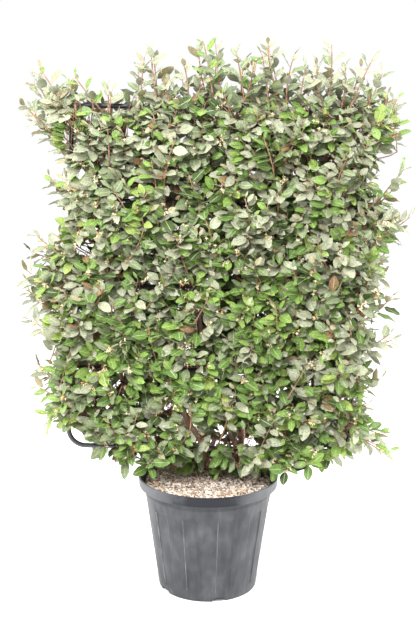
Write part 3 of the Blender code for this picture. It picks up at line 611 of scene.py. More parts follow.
def make_pot():
    """The pot: rolled rim, plain collar with a mould line, flutes, and drain notches in its foot."""
    outer, inner = pot_profile()
    profile = outer + inner
    turns = pot_turns()
    steps = len(turns)
    flute_high = POT_HEIGHT - RIM_BAND - COLLAR
    verts = [(0.0, 0.0, 0.0)]
    for row, (radius, z) in enumerate(profile):
        up = smoothstep(FLUTE_LOW, FLUTE_LOW + FLUTE_EASE, z)
        up *= 1.0 - smoothstep(flute_high - FLUTE_EASE, flute_high, z)
        outside = row < len(outer)
        for turn in turns:
            r = radius - (FLUTE_DEPTH * up * flute_share(turn) if outside else 0.0)
            verts.append((r * math.cos(turn), r * math.sin(turn), z))
    verts.append((0.0, 0.0, POT_FLOOR))
    faces = []
    highlight_faces = []
    last = 1 + (len(profile) - 1) * steps
    for k in range(steps):
        j = (k + 1) % steps
        faces.append((0, 1 + j, 1 + k))
        step_face = k % len(POT_PARTS) in FLUTE_STEPS
        for row in range(len(profile) - 1):
            low = 1 + row * steps
            # Faces on one stepped edge of each flute take the painted highlight
            if step_face and FLUTE_LOW < profile[row][1] < flute_high - FLUTE_EASE and row < len(outer) - 1:
                highlight_faces.append(len(faces))
            faces.append((low + k, low + j, low + steps + j, low + steps + k))
        faces.append((last + k, last + j, len(verts) - 1))
    mesh = bpy.data.meshes.new("pot_shell")
    mesh.from_pydata(verts, [], faces)
    for face in highlight_faces:
        mesh.polygons[face].material_index = 1
    outward_normals(mesh)
    # Painted highlight: lighter plastic on one edge of each flute, in place of the light that edge catches
    edge_highlight = surface("pot_edge_highlight", (0.050, 0.052, 0.057), (0.150, 0.154, 0.165), 24.0, 0.5, bump=0.1,
                      bump_scale=300.0)
    pot = make_piece("pot_shell", mesh, [pot_material(), edge_highlight])
    for k in range(NOTCHES):
        cut_notch(pot, NOTCH_TURN + math.tau * k / NOTCHES)
    pot.data.shade_smooth()
    pot.data.set_sharp_from_angle(angle=POT_SHARP)
    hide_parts("pot")
    return pot


def cut_notch(pot, turn):
    """Cuts one drain notch, an arch in the pot's bottom edge."""
    steps = 12
    arch = [(-0.5 * NOTCH_WIDTH, -NOTCH_HEIGHT)]
    for k in range(steps + 1):
        along = math.pi * (1.0 - k / steps)
        across = math.copysign(abs(math.cos(along)) ** 0.6, math.cos(along))
        arch.append((0.5 * NOTCH_WIDTH * across, NOTCH_HEIGHT * max(math.sin(along), 0.0) ** 0.6))
    arch.append((0.5 * NOTCH_WIDTH, -NOTCH_HEIGHT))
    count = len(arch)
    radii = (BASE_RADIUS - NOTCH_DEPTH, BASE_RADIUS + NOTCH_DEPTH)
    verts = [(radius, across, height) for radius in radii for across, height in arch]
    faces = [tuple(range(count)), tuple(reversed(range(count, 2 * count)))]
    faces += [(k, k + count, (k + 1) % count + count, (k + 1) % count) for k in range(count)]
    mesh = bpy.data.meshes.new("notch_cutter")
    mesh.from_pydata(verts, [], faces)
    outward_normals(mesh)
    cutter = link_object("notch_cutter", mesh)
    cutter.rotation_euler = (0.0, 0.0, turn)
    boolean = pot.modifiers.new("notch", 'BOOLEAN')
    boolean.operation = 'DIFFERENCE'
    boolean.object = cutter
    graph = bpy.context.evaluated_depsgraph_get()
    graph.update()
    cut = bpy.data.meshes.new_from_object(pot.evaluated_get(graph))
    pot.modifiers.clear()
    pot.data = cut
    bpy.data.objects.remove(cutter, do_unlink=True)


def pot_material():
    """Moulded dark grey plastic, streaked and hazed with dust; the rim near black at its front and back
    middle and greyer towards the sides.
    """
    tree = Tree("pot_plastic")
    haze = tree.maths('MULTIPLY', tree.noise(21.0, 8.0, (1.0, 1.0, 0.70)), 0.66)
    streak = tree.maths('MULTIPLY', tree.noise(60.0, 4.0, (1.0, 1.0, 0.12)), 0.34)
    dust = tree.ramp(tree.maths('ADD', haze, streak), (0.36, (0.026, 0.027, 0.031)),
                     (0.52, (0.043, 0.045, 0.050)), (0.70, (0.074, 0.076, 0.082)))
    split = tree.node("SeparateXYZ")
    tree.link(tree.coords(), split.inputs["Vector"])
    neck = POT_HEIGHT - RIM_BAND
    height = tree.span(split.outputs["Z"], From_Min=neck - 0.002, From_Max=neck + 0.002)
    # The rim goes from near black round the middle in x to grey towards the sides
    aside = tree.maths('ADD', tree.maths('ABSOLUTE', split.outputs["X"], 0.0),
                       tree.maths('MULTIPLY', tree.noise(14.0, 4.0), 0.16))
    rim = tree.ramp(aside, (0.150, (0.006, 0.007, 0.011)), (0.172, (0.036, 0.038, 0.043)),
                    (0.260, (0.085, 0.087, 0.093)))
    mix = tree.node("Mix")
    mix.data_type = 'RGBA'
    for source, socket in ((height, "Factor"), (dust, "A"), (rim, "B")):
        tree.link(source, mix.inputs[socket])
    tree.link(mix.outputs["Result"], tree.shader.inputs["Base Color"])
    tree.shader.inputs["Specular IOR Level"].default_value = 0.28
    rough = tree.span(tree.noise(40.0, 6.0, (1.0, 1.0, 0.3)), To_Min=0.34, To_Max=0.62)
    tree.link(rough, tree.shader.inputs["Roughness"])
    tree.bump(tree.noise(260.0, 3.0), 0.12, 0.0006)
    return tree.material


# Building the soil

CHIP_COLOURS = (
    ("chip_pale", (0.60, 0.54, 0.47), (0.78, 0.73, 0.66), 0.42),
    ("chip_pink", (0.50, 0.395, 0.310), (0.66, 0.55, 0.45), 0.28),
    ("chip_brown", (0.30, 0.20, 0.135), (0.44, 0.32, 0.225), 0.19),
    ("chip_dark", (0.080, 0.056, 0.042), (0.150, 0.108, 0.082), 0.11),
    ("chip_tan", (0.54, 0.38, 0.20), (0.72, 0.54, 0.33), 0.0),
)
LARGE_CHIP_SLOTS = (0, 1, 2, 4)
BED_STEPS = 96
BED_EDGE = NECK_RADIUS - POT_WALL
SMALL_CHIPS = 4000
LARGE_CHIPS = 46


def soil_height(x, y):
    """The mix's surface: a little uneven, and lower towards the wall."""
    radius = math.hypot(x, y)
    edge = smoothstep(0.180, 0.207, radius)
    lumps = 0.0035 * noise.noise(Vector((18.0 * x, 18.0 * y, 3.0)))
    return SOIL_TOP - 0.003 - 0.006 * edge + lumps


def make_bed():
    """The filled inside of the pot."""
    radii = [0.012 * k for k in range(1, 17)] + [BED_EDGE - 0.003, BED_EDGE + 0.001]
    shoulder = [(BED_EDGE - 0.0012, POT_HEIGHT - RIM_BAND), (wall_radius(0.2) - 0.006, 0.2),
                (wall_radius(0.013) - 0.0085, 0.0135)]
    points = [(0.0, 0.0, soil_height(0.0, 0.0))]
    for radius, z in [(radius, None) for radius in radii] + shoulder:
        for k in range(BED_STEPS):
            turn = math.tau * k / BED_STEPS
            x = radius * math.cos(turn)
            y = radius * math.sin(turn)
            points.append((x, y, soil_height(x, y) if z is None else z))
    points.append((0.0, 0.0, shoulder[-1][1]))
    rows = len(radii) + len(shoulder)
    bed = Batch()
    bed.add(points, 1 + ring_quads(rows, BED_STEPS, True))
    last = 1 + (rows - 1) * BED_STEPS
    pairs = [(k, (k + 1) % BED_STEPS) for k in range(BED_STEPS)]
    bed.add_faces([(0, 1 + k, 1 + j) for k, j in pairs], 0)
    bed.add_faces([(last + j, last + k, len(points) - 1) for k, j in pairs], 0)
    ground = surface("mix_ground", (0.150, 0.105, 0.078), (0.360, 0.265, 0.200), 150.0, 0.95, bump=0.8,
                     bump_scale=320.0, bump_distance=0.002)
    return bed.build("soil_bed", [ground], in_panel=False)


def on_mix(radius, turn, lift):
    """Places at a height over the mix's surface."""
    places = np.stack([radius * np.cos(turn), radius * np.sin(turn), np.zeros(len(turn))], 1)
    places[:, 2] = [soil_height(x, y) for x, y, _ in places]
    places[:, 2] += lift
    return places


def make_chips():
    """The grit and bark chips that cover the mix."""
    chips = Batch()
    rng = np.random.default_rng(CHIP_SEED)
    count = SMALL_CHIPS
    radius = (BED_EDGE - 0.003) * np.sqrt(rng.random(count))
    turn = math.tau * rng.random(count)
    places = on_mix(radius, turn, rng.uniform(-0.0002, 0.0022, count))
    shares = np.cumsum([share for _, _, _, share in CHIP_COLOURS])
    slots = np.searchsorted(shares, rng.random(count) * shares[-1])
    sizes = rng.uniform(0.0022, 0.0062, count)
    sizes[rng.random(count) < 0.04] *= 1.9
    stretch = np.stack([rng.uniform(0.8, 1.7, count), rng.uniform(0.6, 1.0, count),
                        rng.uniform(0.35, 0.7, count)], 1)
    bits(chips, rng, places, sizes, stretch, slots)
    count = LARGE_CHIPS
    turn = rng.uniform(0.0, math.tau, count)
    radius = (BED_EDGE - 0.022) * np.sqrt(rng.random(count))
    places = on_mix(radius, turn, 0.0025)
    stretch = np.stack([rng.uniform(1.6, 3.4, count), rng.uniform(0.7, 1.1, count),
                        rng.uniform(0.25, 0.4, count)], 1)
    sizes = rng.uniform(0.006, 0.010, count)
    bits(chips, rng, places, sizes, stretch, rng.choice(LARGE_CHIP_SLOTS, count))
    materials = [surface(name, low, high, 160.0, 0.9, bump=0.4, bump_scale=700.0)
                 for name, low, high, _ in CHIP_COLOURS]
    return chips.build("soil_chips", materials, in_panel=False, smooth=False)


def make_soil():
    bed = make_bed()
    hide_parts("soil")
    return [bed, make_chips()]


def random_turns(rng, count, tilt):
    """Rotation matrices with any heading and a tilt of up to the given angle."""
    heading = rng.uniform(0.0, math.tau, count)
    lean = rng.uniform(-tilt, tilt, count)
    roll = rng.uniform(-tilt, tilt, count)
    spin = Matrix.Rotation
    return np.array([np.array(spin(a, 3, 'Z') @ spin(b, 3, 'Y') @ spin(c, 3, 'X'))
                     for a, b, c in zip(heading, lean, roll)])


def bits(batch, rng, places, sizes, stretch, slots):
    """Small angular grains, each a jittered eight-cornered body."""
    corners = np.array([(x, y, z) for x in (-1, 1) for y in (-1, 1) for z in (-1, 1)], float)
    quads = np.array([(0, 1, 3, 2), (4, 6, 7, 5), (0, 4, 5, 1), (2, 3, 7, 6), (0, 2, 6, 4), (1, 5, 7, 3)])
    count = len(places)
    shape = corners[None] * (1.0 + rng.uniform(-0.45, 0.25, (count, 8, 3)))
    shape = shape * stretch[:, None] * sizes[:, None, None] * 0.5
    turned = np.einsum('nij,nkj->nki', random_turns(rng, count, 0.6), shape)
    points = turned + places[:, None]
    faces = (quads[None] + (8 * np.arange(count))[:, None, None]).reshape(-1, 4)
    batch.add(points, faces, np.repeat(slots, 6))


# Stems and boughs

def leader_points(x, phase):
    """The course of a leader behind the frame's rods, which wanders a little."""
    count = int((LEADER_TOP - LEADER_FOOT) / LEADER_STEP) + 1
    points = []
    for k in range(count):
        z = LEADER_FOOT + (LEADER_TOP - LEADER_FOOT) * k / (count - 1)
        sway = LEADER_WANDER * math.sin(phase + 1.3 * k)
        points.append((x + sway, LEADER_Y + 0.3 * abs(sway), z))
    return points


def tapered(count, base, tip, flare=1.0):
    """Radii from the foot to the tip, with the foot flared."""
    radii = [base + (tip - base) * k / (count - 1) for k in range(count)]
    radii[0] *= flare
    return radii


class Limb:
    """A limb's path and radii, in the panel's frame."""

    def __init__(self, node, points, radii):
        self.node = node
        self.points = [Vector(p) for p in points]
        self.radii = radii

    def at_height(self, z):
        """The point and the radius at a height."""
        for k, (low, high) in enumerate(zip(self.points, self.points[1:])):
            if low.z <= z <= high.z:
                share = (z - low.z) / (high.z - low.z)
                return low.lerp(high, share), self.radii[k] + (self.radii[k + 1] - self.radii[k]) * share
        return self.points[-1], self.radii[-1]

    def smooth_path(self, step=0.006):
        """A finer path through the same points, as a Catmull-Rom curve, with its radii."""
        pts = self.points
        path = []
        radii = []
        for k in range(len(pts) - 1):
            p0 = pts[max(k - 1, 0)]
            p1 = pts[k]
            p2 = pts[k + 1]
            p3 = pts[min(k + 2, len(pts) - 1)]
            count = max(2, int((p2 - p1).length / step))
            for i in range(count):
                t = i / count
                path.append(0.5 * (2.0 * p1 + (p2 - p0) * t + (2.0 * p0 - 5.0 * p1 + 4.0 * p2 - p3) * t * t
                                   + (3.0 * p1 - p0 - 3.0 * p2 + p3) * t ** 3))
                radii.append(self.radii[k] + (self.radii[k + 1] - self.radii[k]) * t)
        path.append(pts[-1])
        radii.append(self.radii[-1])
        return path, radii


def make_limbs():
    """The same stems and boughs as the solids."""
    left = [(0.004, 0.050, above_soil(0.004)), (-0.004, 0.048, 0.400), (-0.018, 0.042, 0.450),
            (-0.038, 0.034, 0.490), (-0.068, 0.028, 0.532), (-0.086, 0.022, 0.580), (-0.078, 0.019, 0.650)]
    left += leader_points(LEADER_X[1], 0.4)
    right = [(0.088, 0.070, above_soil(0.088)), (0.094, 0.066, 0.405), (0.105, 0.056, 0.455),
             (0.114, 0.042, 0.505), (0.122, 0.028, 0.590), (0.130, 0.020, 0.665)]
    right += leader_points(LEADER_X[2], 1.9)
    limbs = {
        "left": Limb("stem_left", left, tapered(len(left), STEM_RADIUS, STEM_TIP_RADIUS, STEM_FLARE)),
        "right": Limb("stem_right", right, tapered(len(right), STEM_RADIUS, STEM_TIP_RADIUS, STEM_FLARE)),
    }
    boughs = (
        ("far_left", "left", 0.515, [(-0.130, 0.024, 0.560), (-0.215, 0.020, 0.598),
                                     (-0.278, 0.019, 0.650)], leader_points(LEADER_X[0], 3.1)),
        ("far_right", "right", 0.530, [(0.180, 0.026, 0.570), (0.252, 0.020, 0.605),
                                       (0.302, 0.019, 0.655)], leader_points(LEADER_X[3], 4.6)),
        ("middle", "right", 0.440, [(0.076, 0.040, 0.478), (0.062, 0.026, 0.520)], []),
        ("stub", "left", 0.430, [(0.012, 0.028, 0.462), (0.018, 0.022, 0.482)], []),
    )
    for name, parent, height, path, upper in boughs:
        start, radius = limbs[parent].at_height(height)
        points = [start] + path + upper
        base = 0.78 * radius
        tip = 0.8 * base if name == "stub" else STEM_TIP_RADIUS
        limbs[name] = Limb("bough_" + name, points, tapered(len(points), base, tip))
    return limbs


def bark_limb(batch, limb, sides, seed):
    """A limb with shallow ridges along it, small swellings and a rounded end."""
    path, radii = limb.smooth_path()
    count = len(path)
    side = Vector((1.0, 0.0, 0.0))
    points = []
    travelled = 0.0
    for i in range(count):
        ahead = (path[min(i + 1, count - 1)] - path[max(i - 1, 0)]).normalized()
        side = (side - ahead * side.dot(ahead)).normalized()
        across = ahead.cross(side)
        if i:
            travelled += (path[i] - path[i - 1]).length
        swell = 1.0 + 0.10 * noise.noise(Vector((28.0 * travelled, seed, 0.0)))
        for k in range(sides):
            turn = math.tau * k / sides
            c = math.cos(turn)
            s = math.sin(turn)
            ridge = noise.noise(Vector((2.6 * c, 2.6 * s + seed, 26.0 * travelled)))
            scale = noise.noise(Vector((5.0 * c, 5.0 * s - seed, 120.0 * travelled)))
            out = side * c + across * s
            points.append(path[i] + out * radii[i] * (swell + 0.11 * ridge + 0.05 * scale))
    start = batch.add([tuple(p) for p in points], ring_quads(count, sides))
    around = np.arange(sides)
    batch.add_faces([around[::-1], (count - 1) * sides + around], start)


def make_bark(limbs):
    """The stems and boughs, one piece each."""
    bark = surface("bark", (0.400, 0.225, 0.155), (0.740, 0.500, 0.370), 95.0, 0.8, bump=0.7,
                   bump_scale=420.0, bump_distance=0.0012, stretch=(1.0, 1.0, 0.28))
    pieces = []
    for seed, (name, limb) in enumerate(limbs.items()):
        batch = Batch()
        bark_limb(batch, limb, 20 if name in ("left", "right") else 16, 3.7 * seed)
        piece = batch.build("wood_" + name, [bark])
        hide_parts(limb.node)
        pieces.append(piece)
    return pieces


# Growth of the twigs

EYE = PANEL.inverted() @ CAMERA_PLACE


def seen_at(point):
    """Where a point shows on the panel's middle plane, seen from the camera."""
    share = EYE.y / (EYE.y - point.y)
    return EYE.x + (point.x - EYE.x) * share, EYE.z + (point.z - EYE.z) * share


def edge(table, at):
    """The outline's value at a height or an x."""
    places, values = zip(*table)
    return float(np.interp(at, places, values))


def between_sides(x, z, margin=0.0):
    """Whether a place lies between the outline's two sides."""
    return edge(LEFT_EDGE, z) + margin < x < edge(RIGHT_EDGE, z) - margin


def inside(point, margin):
    """Whether a point shows within the dense outline by a margin."""
    x, z = seen_at(point)
    return between_sides(x, z, margin) and edge(LOW_EDGE, x) + margin < z < edge(TOP_EDGE, x) - margin


def in_gap(point, margin=0.0, places=SKY_GAPS):
    """Whether a point shows in one of the listed ellipses, widened by a margin."""
    x, z = seen_at(point)
    return any(((x - gap_x) / (half_x + margin)) ** 2 + ((z - gap_z) / (half_z + margin)) ** 2 < 1.0
               for gap_x, gap_z, half_x, half_z in places)


class Obstacles:
    """The tubes and limbs that twigs and leaves keep off."""

    def __init__(self, lines):
        self.starts = np.array([tuple(a) for a, _, _ in lines])
        self.runs = np.array([tuple(b) for _, b, _ in lines]) - self.starts
        self.radii = np.array([r for _, _, r in lines])
        self.lengths = np.maximum((self.runs ** 2).sum(1), 1e-9)

    def room(self, points):
        """The least distance from any of the points to any surface."""
        points = np.array([tuple(p) for p in points])
        offset = points[:, None] - self.starts
        share = np.clip((offset * self.runs).sum(2) / self.lengths, 0.0, 1.0)
        gap = np.linalg.norm(offset - self.runs * share[..., None], axis=2) - self.radii
        return gap.min()


def frame_lines():
    """The frame's tubes as straight lines with a radius."""
    loop = frame_line()
    lines = [(Vector(a), Vector(b), TUBE_RADIUS) for a, b in zip(loop, loop[1:] + loop[:1])]
    half = 0.5 * FRAME_WIDTH
    lines += [(Vector((-half, 0, z)), Vector((half, 0, z)), ROD_RADIUS) for z in ROD_HEIGHTS]
    lines += [(Vector((x, 0, SOIL_TOP)), Vector((x, 0, FRAME_LOW)), ROD_RADIUS)
              for x in (-LEG_SPREAD, LEG_SPREAD)]
    return lines


class Wood:
    """The branches inside one mass: nodes that each know what they grow from."""

    def __init__(self, root):
        self.places = [Vector(root)]
        self.parents = [-1]
        self.loads = [0]
        self.links = []

    def nearest(self, point):
        """The node that a new branch to the point leaves; lower and nearer ones are better."""
        steps = [point - place for place in self.places]
        costs = [step.length + 0.8 * max(0.0, -step.z) for step in steps]
        return costs.index(min(costs))

    def grow_to(self, rng, point, steps):
        """A curved branch from the nearest node to the point; returns its last node."""
        at = self.nearest(point)
        start = self.places[at]
        run = point - start
        bow = Vector((rng.uniform(-1, 1), rng.uniform(-1, 1), rng.uniform(-1.6, 0.2))) * (0.10 * run.length)
        link = [at]
        for k in range(1, steps + 1):
            share = k / steps
            self.places.append(start + run * share + bow * (4.0 * share * (1.0 - share)))
            self.parents.append(link[-1])
            self.loads.append(0)
            link.append(len(self.places) - 1)
        self.links.append(link)
        return link[-1]

    def load(self, node):
        """Counts one more shoot on every node from here down to the limb."""
        while node >= 0:
            self.loads[node] += 1
            node = self.parents[node]

    def tubes(self, batch):
        """Meshes the branches, thicker where they carry more."""
        by_size = {}
        for link in self.links:
            by_size.setdefault(len(link), []).append(link)
        for links in by_size.values():
            paths = [[tuple(self.places[k]) for k in link] for link in links]
            radii = []
            for link in links:
                loads = [self.loads[link[1]]] + [self.loads[k] for k in link[1:]]
                radii.append([BRANCH_RADIUS * max(1, load) ** BRANCH_POWER for load in loads])
            tubes(batch, paths, radii, 4)


def mass_spaces():
    """Each mass's box in the panel's frame, by column and row."""
    edges = (-PANEL_HALF_WIDTH,) + LEADER_X + (PANEL_HALF_WIDTH,)
    spaces = {}
    for row in range(len(ROW_NAMES)):
        head = (*ROD_HEIGHTS, PANEL_TOP)[row]
        for column in range(len(COLUMN_NAMES)):
            foot = ROW_FOOT[column] if row == 0 else ROD_HEIGHTS[row - 1]
            spaces[column, row] = (Vector((edges[column], -PANEL_HALF_DEPTH, foot)),
                                   Vector((edges[column + 1], PANEL_HALF_DEPTH, head)))
    return spaces


# The limb that carries each column's masses, and for the low row also the height where they leave it
CARRIERS = ("far_left", "far_left", "left", "right", "far_right")
LOW_CARRIERS = (("far_left", 0.665), ("left", 0.600), ("middle", 0.520), ("right", 0.620),
                ("far_right", 0.665))
ROOT_RISE = 0.075


def mass_root(column, row, low, limbs):
    """Where a mass's own wood leaves its limb."""
    name, height = LOW_CARRIERS[column] if row == 0 else (CARRIERS[column], low.z + ROOT_RISE)
    return limbs[name].at_height(height)[0]


class Shoot:
    """A leafy shoot to be grown: its ends, the way it faces and its kind."""

    def __init__(self, base, tip, outward, kind):
        self.base = Vector(base)
        self.tip = Vector(tip)
        self.outward = Vector(outward).normalized()
        self.kind = kind


def grid_places(rng, low, high, spacing):
    """Jittered places over a rectangle."""
    wide = max(1, round((high[0] - low[0]) / spacing))
    tall = max(1, round((high[1] - low[1]) / spacing))
    for i in range(wide):
        for j in range(tall):
            x = low[0] + (high[0] - low[0]) * (i + 0.5 + rng.uniform(-0.46, 0.46)) / wide
            z = low[1] + (high[1] - low[1]) * (j + 0.5 + rng.uniform(-0.46, 0.46)) / tall
            yield x, z


def side_of(value):
    """One with the sign of a value."""
    return math.copysign(1.0, value)


def reach_at(x, z):
    """How far the leaves stand off the middle plane: less towards the sides and the top."""
    side = 1.0 - 0.50 * smoothstep(0.36, 0.58, abs(x))
    crest = 1.0 - 0.55 * smoothstep(1.42, 1.66, z)
    return side * crest


def surface_shoots(rng, low, high):
    """The shoots whose tips make the front and the back of a mass."""
    shoots = []
    for sign, spacing in ((-1.0, SHOOT_SPACING), (1.0, 1.10 * SHOOT_SPACING)):
        for x, z in grid_places(rng, (low.x, low.z - 0.07), (high.x, high.z), spacing):
            if z < low.z and low.z > 0.6:
                continue
            relief = noise.noise(Vector((6.0 * x, 40.0 * sign, 6.0 * z)))
            relief += 0.6 * noise.noise(Vector((15.0 * x, 20.0 * sign, 15.0 * z)))
            depth = reach_at(x, z) * (SURFACE_DEPTH + 0.042 * relief + rng.uniform(-0.020, 0.016))
            tip = Vector((x, sign * min(depth, DEEPEST_TIP), z))
            if not inside(tip, OUTER_MARGIN):
                continue
            side = 0.35 * smoothstep(0.40, 0.56, abs(x)) * side_of(x)
            base = Vector((x - 0.2 * side + rng.uniform(-0.035, 0.035), 0.40 * tip.y,
                           z - rng.uniform(0.035, 0.095)))
            shoots.append(Shoot(above_low_edge(base), tip, (side, sign, 0.0), "outer"))
    return shoots


def above_low_edge(base):
    """A shoot's foot, raised where it would hang below the foliage."""
    base.z = max(base.z, edge(LOW_EDGE, seen_at(base)[0]) + FOOT_ROOM)
    return base


def runner_shoots(rng, low, high):
    """Long bare-stemmed shoots that stand up on the front and the back."""
    shoots = []
    for sign in (-1.0, 1.0):
        for x, z in grid_places(rng, (low.x, low.z), (high.x, high.z), RUNNER_SPACING):
            depth = reach_at(x, z) * (SURFACE_DEPTH + rng.uniform(0.000, 0.030))
            tip = Vector((x, sign * depth, z))
            if not inside(tip, RUNNER_MARGIN):
                continue
            base = Vector((x + rng.uniform(-0.08, 0.08), 0.62 * tip.y, z - rng.uniform(0.09, 0.20)))
            shoots.append(Shoot(above_low_edge(base), tip, (0.0, sign, 0.0), "runner"))
    return shoots


def inner_shoots(rng, low, high):
    """Shaded shoots that fill the inside of a mass."""
    shoots = []
    for sign in (-1.0, 1.0):
        for x, z in grid_places(rng, (low.x, low.z), (high.x, high.z), INNER_SPACING):
            tip = Vector((x, sign * reach_at(x, z) * rng.uniform(0.022, 0.075), z))
            if inside(tip, INNER_MARGIN):
                base = Vector((x + rng.uniform(-0.03, 0.03), 0.2 * tip.y, z - rng.uniform(0.04, 0.08)))
                shoots.append(Shoot(above_low_edge(base), tip, (0.0, sign, 0.0), "inner"))
    return shoots


def edge_shoots(rng, column, low, high):
    """Short shoots that make a mass's outer side."""
    shoots = []
    if column not in (0, len(COLUMN_NAMES) - 1):
        return shoots
    side = -1.0 if column == 0 else 1.0
    table = LEFT_EDGE if column == 0 else RIGHT_EDGE
    for y, z in grid_places(rng, (-0.105, low.z), (0.105, high.z), 1.1 * SHOOT_SPACING):
        reach = side * edge(table, z) + 0.004 - rng.uniform(0.0, 0.045) - 1.6 * y * y
        tip = Vector((side * reach, y, z))
        x_seen, z_seen = seen_at(tip)
        if not edge(LOW_EDGE, x_seen) < z_seen < edge(TOP_EDGE, x_seen):
            continue
        base = tip - Vector((side * rng.uniform(0.05, 0.09), 0.5 * y, rng.uniform(0.03, 0.09)))
        facing = (0.6 * side, 0.9 * side_of(y), 0.15)
        shoots.append(Shoot(above_low_edge(base), tip, facing, "outer"))
    return shoots


def crest_shoots(rng, low, high):
    """The shoots of the top row's ragged upper edge: a low dense row, and higher ones that stand apart."""
    shoots = []
    for x, y in grid_places(rng, (low.x, -0.085), (high.x, 0.085), 0.85 * SHOOT_SPACING):
        z = edge(TOP_EDGE, x) + rng.uniform(-0.065, 0.032) - 2.0 * y * y
        if between_sides(x, z):
            base = Vector((x + rng.uniform(-0.025, 0.025), 0.6 * y, z - rng.uniform(0.08, 0.13)))
            shoots.append(Shoot(base, (x, y, z), (0.0, 1.2 * side_of(y), 0.5), "outer"))
    for sign in (-1.0, 1.0):
        for x, z in grid_places(rng, (low.x, FRAME_HIGH - 0.012), (high.x, FRAME_HIGH + 0.028), 0.044):
            tip = Vector((x, sign * rng.uniform(0.045, 0.080), z))
            if between_sides(x, z):
                base = tip - Vector((rng.uniform(-0.04, 0.04), 0.5 * tip.y, rng.uniform(0.05, 0.08)))
                shoots.append(Shoot(base, tip, (0.0, sign, 0.15), "outer"))
    for x, y in grid_places(rng, (low.x, -0.070), (high.x, 0.070), CREST_SPACING):
        z = edge(TOP_EDGE, x) + rng.uniform(0.020, 0.085)
        if between_sides(x, z):
            base = Vector((x + rng.uniform(-0.080, 0.080), 0.7 * y, z - rng.uniform(0.10, 0.17)))
            shoots.append(Shoot(base, (x, y, z), (0.0, 0.8 * side_of(y), 0.7), "tall"))
    return shoots


def listed_shoots(rng, low, high):
    """The tall and the side shoots that belong to a mass, each with one fellow behind it."""
    shoots = []
    for kind, listed in (("tall", TALL_SHOOTS), ("side", SIDE_SHOOTS)):
        for x, z, foot_x, foot_z in listed:
            if not (low.x <= foot_x < high.x and low.z <= foot_z < high.z):
                continue
            facing = (0.0, -0.4, 1.0) if kind == "tall" else (side_of(x), -0.5, 0.3)
            y = rng.uniform(-0.050, -0.005)
            foot_y = rng.uniform(-0.045, -0.022)
            shoots.append(Shoot((foot_x, foot_y, foot_z), (x, y, z), facing, kind))
            behind = Vector((x + rng.uniform(-0.035, 0.035), rng.uniform(0.030, 0.070),
                             z - rng.uniform(0.02, 0.07)))
            shoots.append(Shoot((foot_x, 0.035, foot_z - 0.02), behind, (facing[0], 0.4, facing[2]), kind))
    return shoots


def base_shoots():
    """The low shoots that spring from the stems' feet."""
    back = PANEL.inverted()
    return [Shoot(back @ Vector(line[:3]), back @ Vector(line[3:]), (0.0, -1.0, 0.6), "base")
            for line in BASE_SHOOTS]


# Colours of the leaves, dealt out by spray

RELATED = {
    "silver": ("grey", "pale", "silver"), "pale": ("silver", "pale", "grey"),
    "grey": ("silver", "green", "grey"), "green": ("grey", "fresh", "deep"),
    "fresh": ("green", "lime", "grey"), "lime": ("fresh", "green", "fresh"),
    "deep": ("green", "deep", "deep"), "bronze": ("pale", "silver", "bronze"),
    "dead": ("deep", "deep", "green"),
}


def spray_colour(rng, height, across, kind):
    """The colour that most leaves of one spray share.

    It is silvery on top and fresh green lower. It is paler at the sides, where the extra silver, pale and
    lime leaves and the fewer deep ones are painted light for the backlit haze round the plant's edges.
    """
    side = smoothstep(0.28, 0.52, abs(across))
    # Inner sprays are mostly deep: painted shade for the dark inside of the mass
    if kind == "inner":
        shares = (("deep", 0.44), ("green", 0.26), ("dead", 0.18 + 0.20 * (across < -0.10)), ("grey", 0.06))
    elif kind == "base":
        shares = (("green", 0.50), ("fresh", 0.26), ("deep", 0.14), ("grey", 0.10))
    elif kind == "tall":
        shares = (("silver", 0.34), ("pale", 0.12), ("grey", 0.38), ("bronze", 0.10), ("fresh", 0.06))
    else:
        dull = smoothstep(0.70, 0.88, height) * smoothstep(0.0, 0.25, -across)
        # The side terms, with paler leaves and fewer deep ones towards the sides, are painted light for the
        # backlit haze there
        shares = (("silver", 0.05 + 0.27 * height + 0.08 * side),
                  ("pale", 0.03 + 0.14 * height + 0.10 * side), ("grey", 0.19),
                  ("green", (0.36 - 0.20 * height) * (1.0 - 0.45 * side)),
                  ("fresh", (0.25 - 0.12 * height) * (1.0 - 0.6 * dull)),
                  ("lime", (0.08 - 0.04 * height + 0.04 * side) * (1.0 - 0.8 * dull)),
                  ("deep", 0.09 * (1.0 - side)))
    pick = rng.random() * sum(share for _, share in shares)
    for name, share in shares:
        pick -= share
        if pick <= 0.0:
            return name
    return "green"


def leaf_colour(rng, spray, place, height, kind):
    """One leaf's colour: its spray's, a related one, or that of a young or a dead leaf."""
    # Inner leaves keep their spray's colour or turn deep, painted shade for the inside of the mass
    if kind == "inner":
        return spray if rng.random() < 0.8 else "deep"
    if place < 2 and rng.random() < 0.15 + 0.35 * height:
        return rng.choice(("pale", "bronze", "silver", "bronze", "fresh"))
    if rng.random() < 0.012:
        return "dead"
    return spray if rng.random() < 0.62 else rng.choice(RELATED[spray])


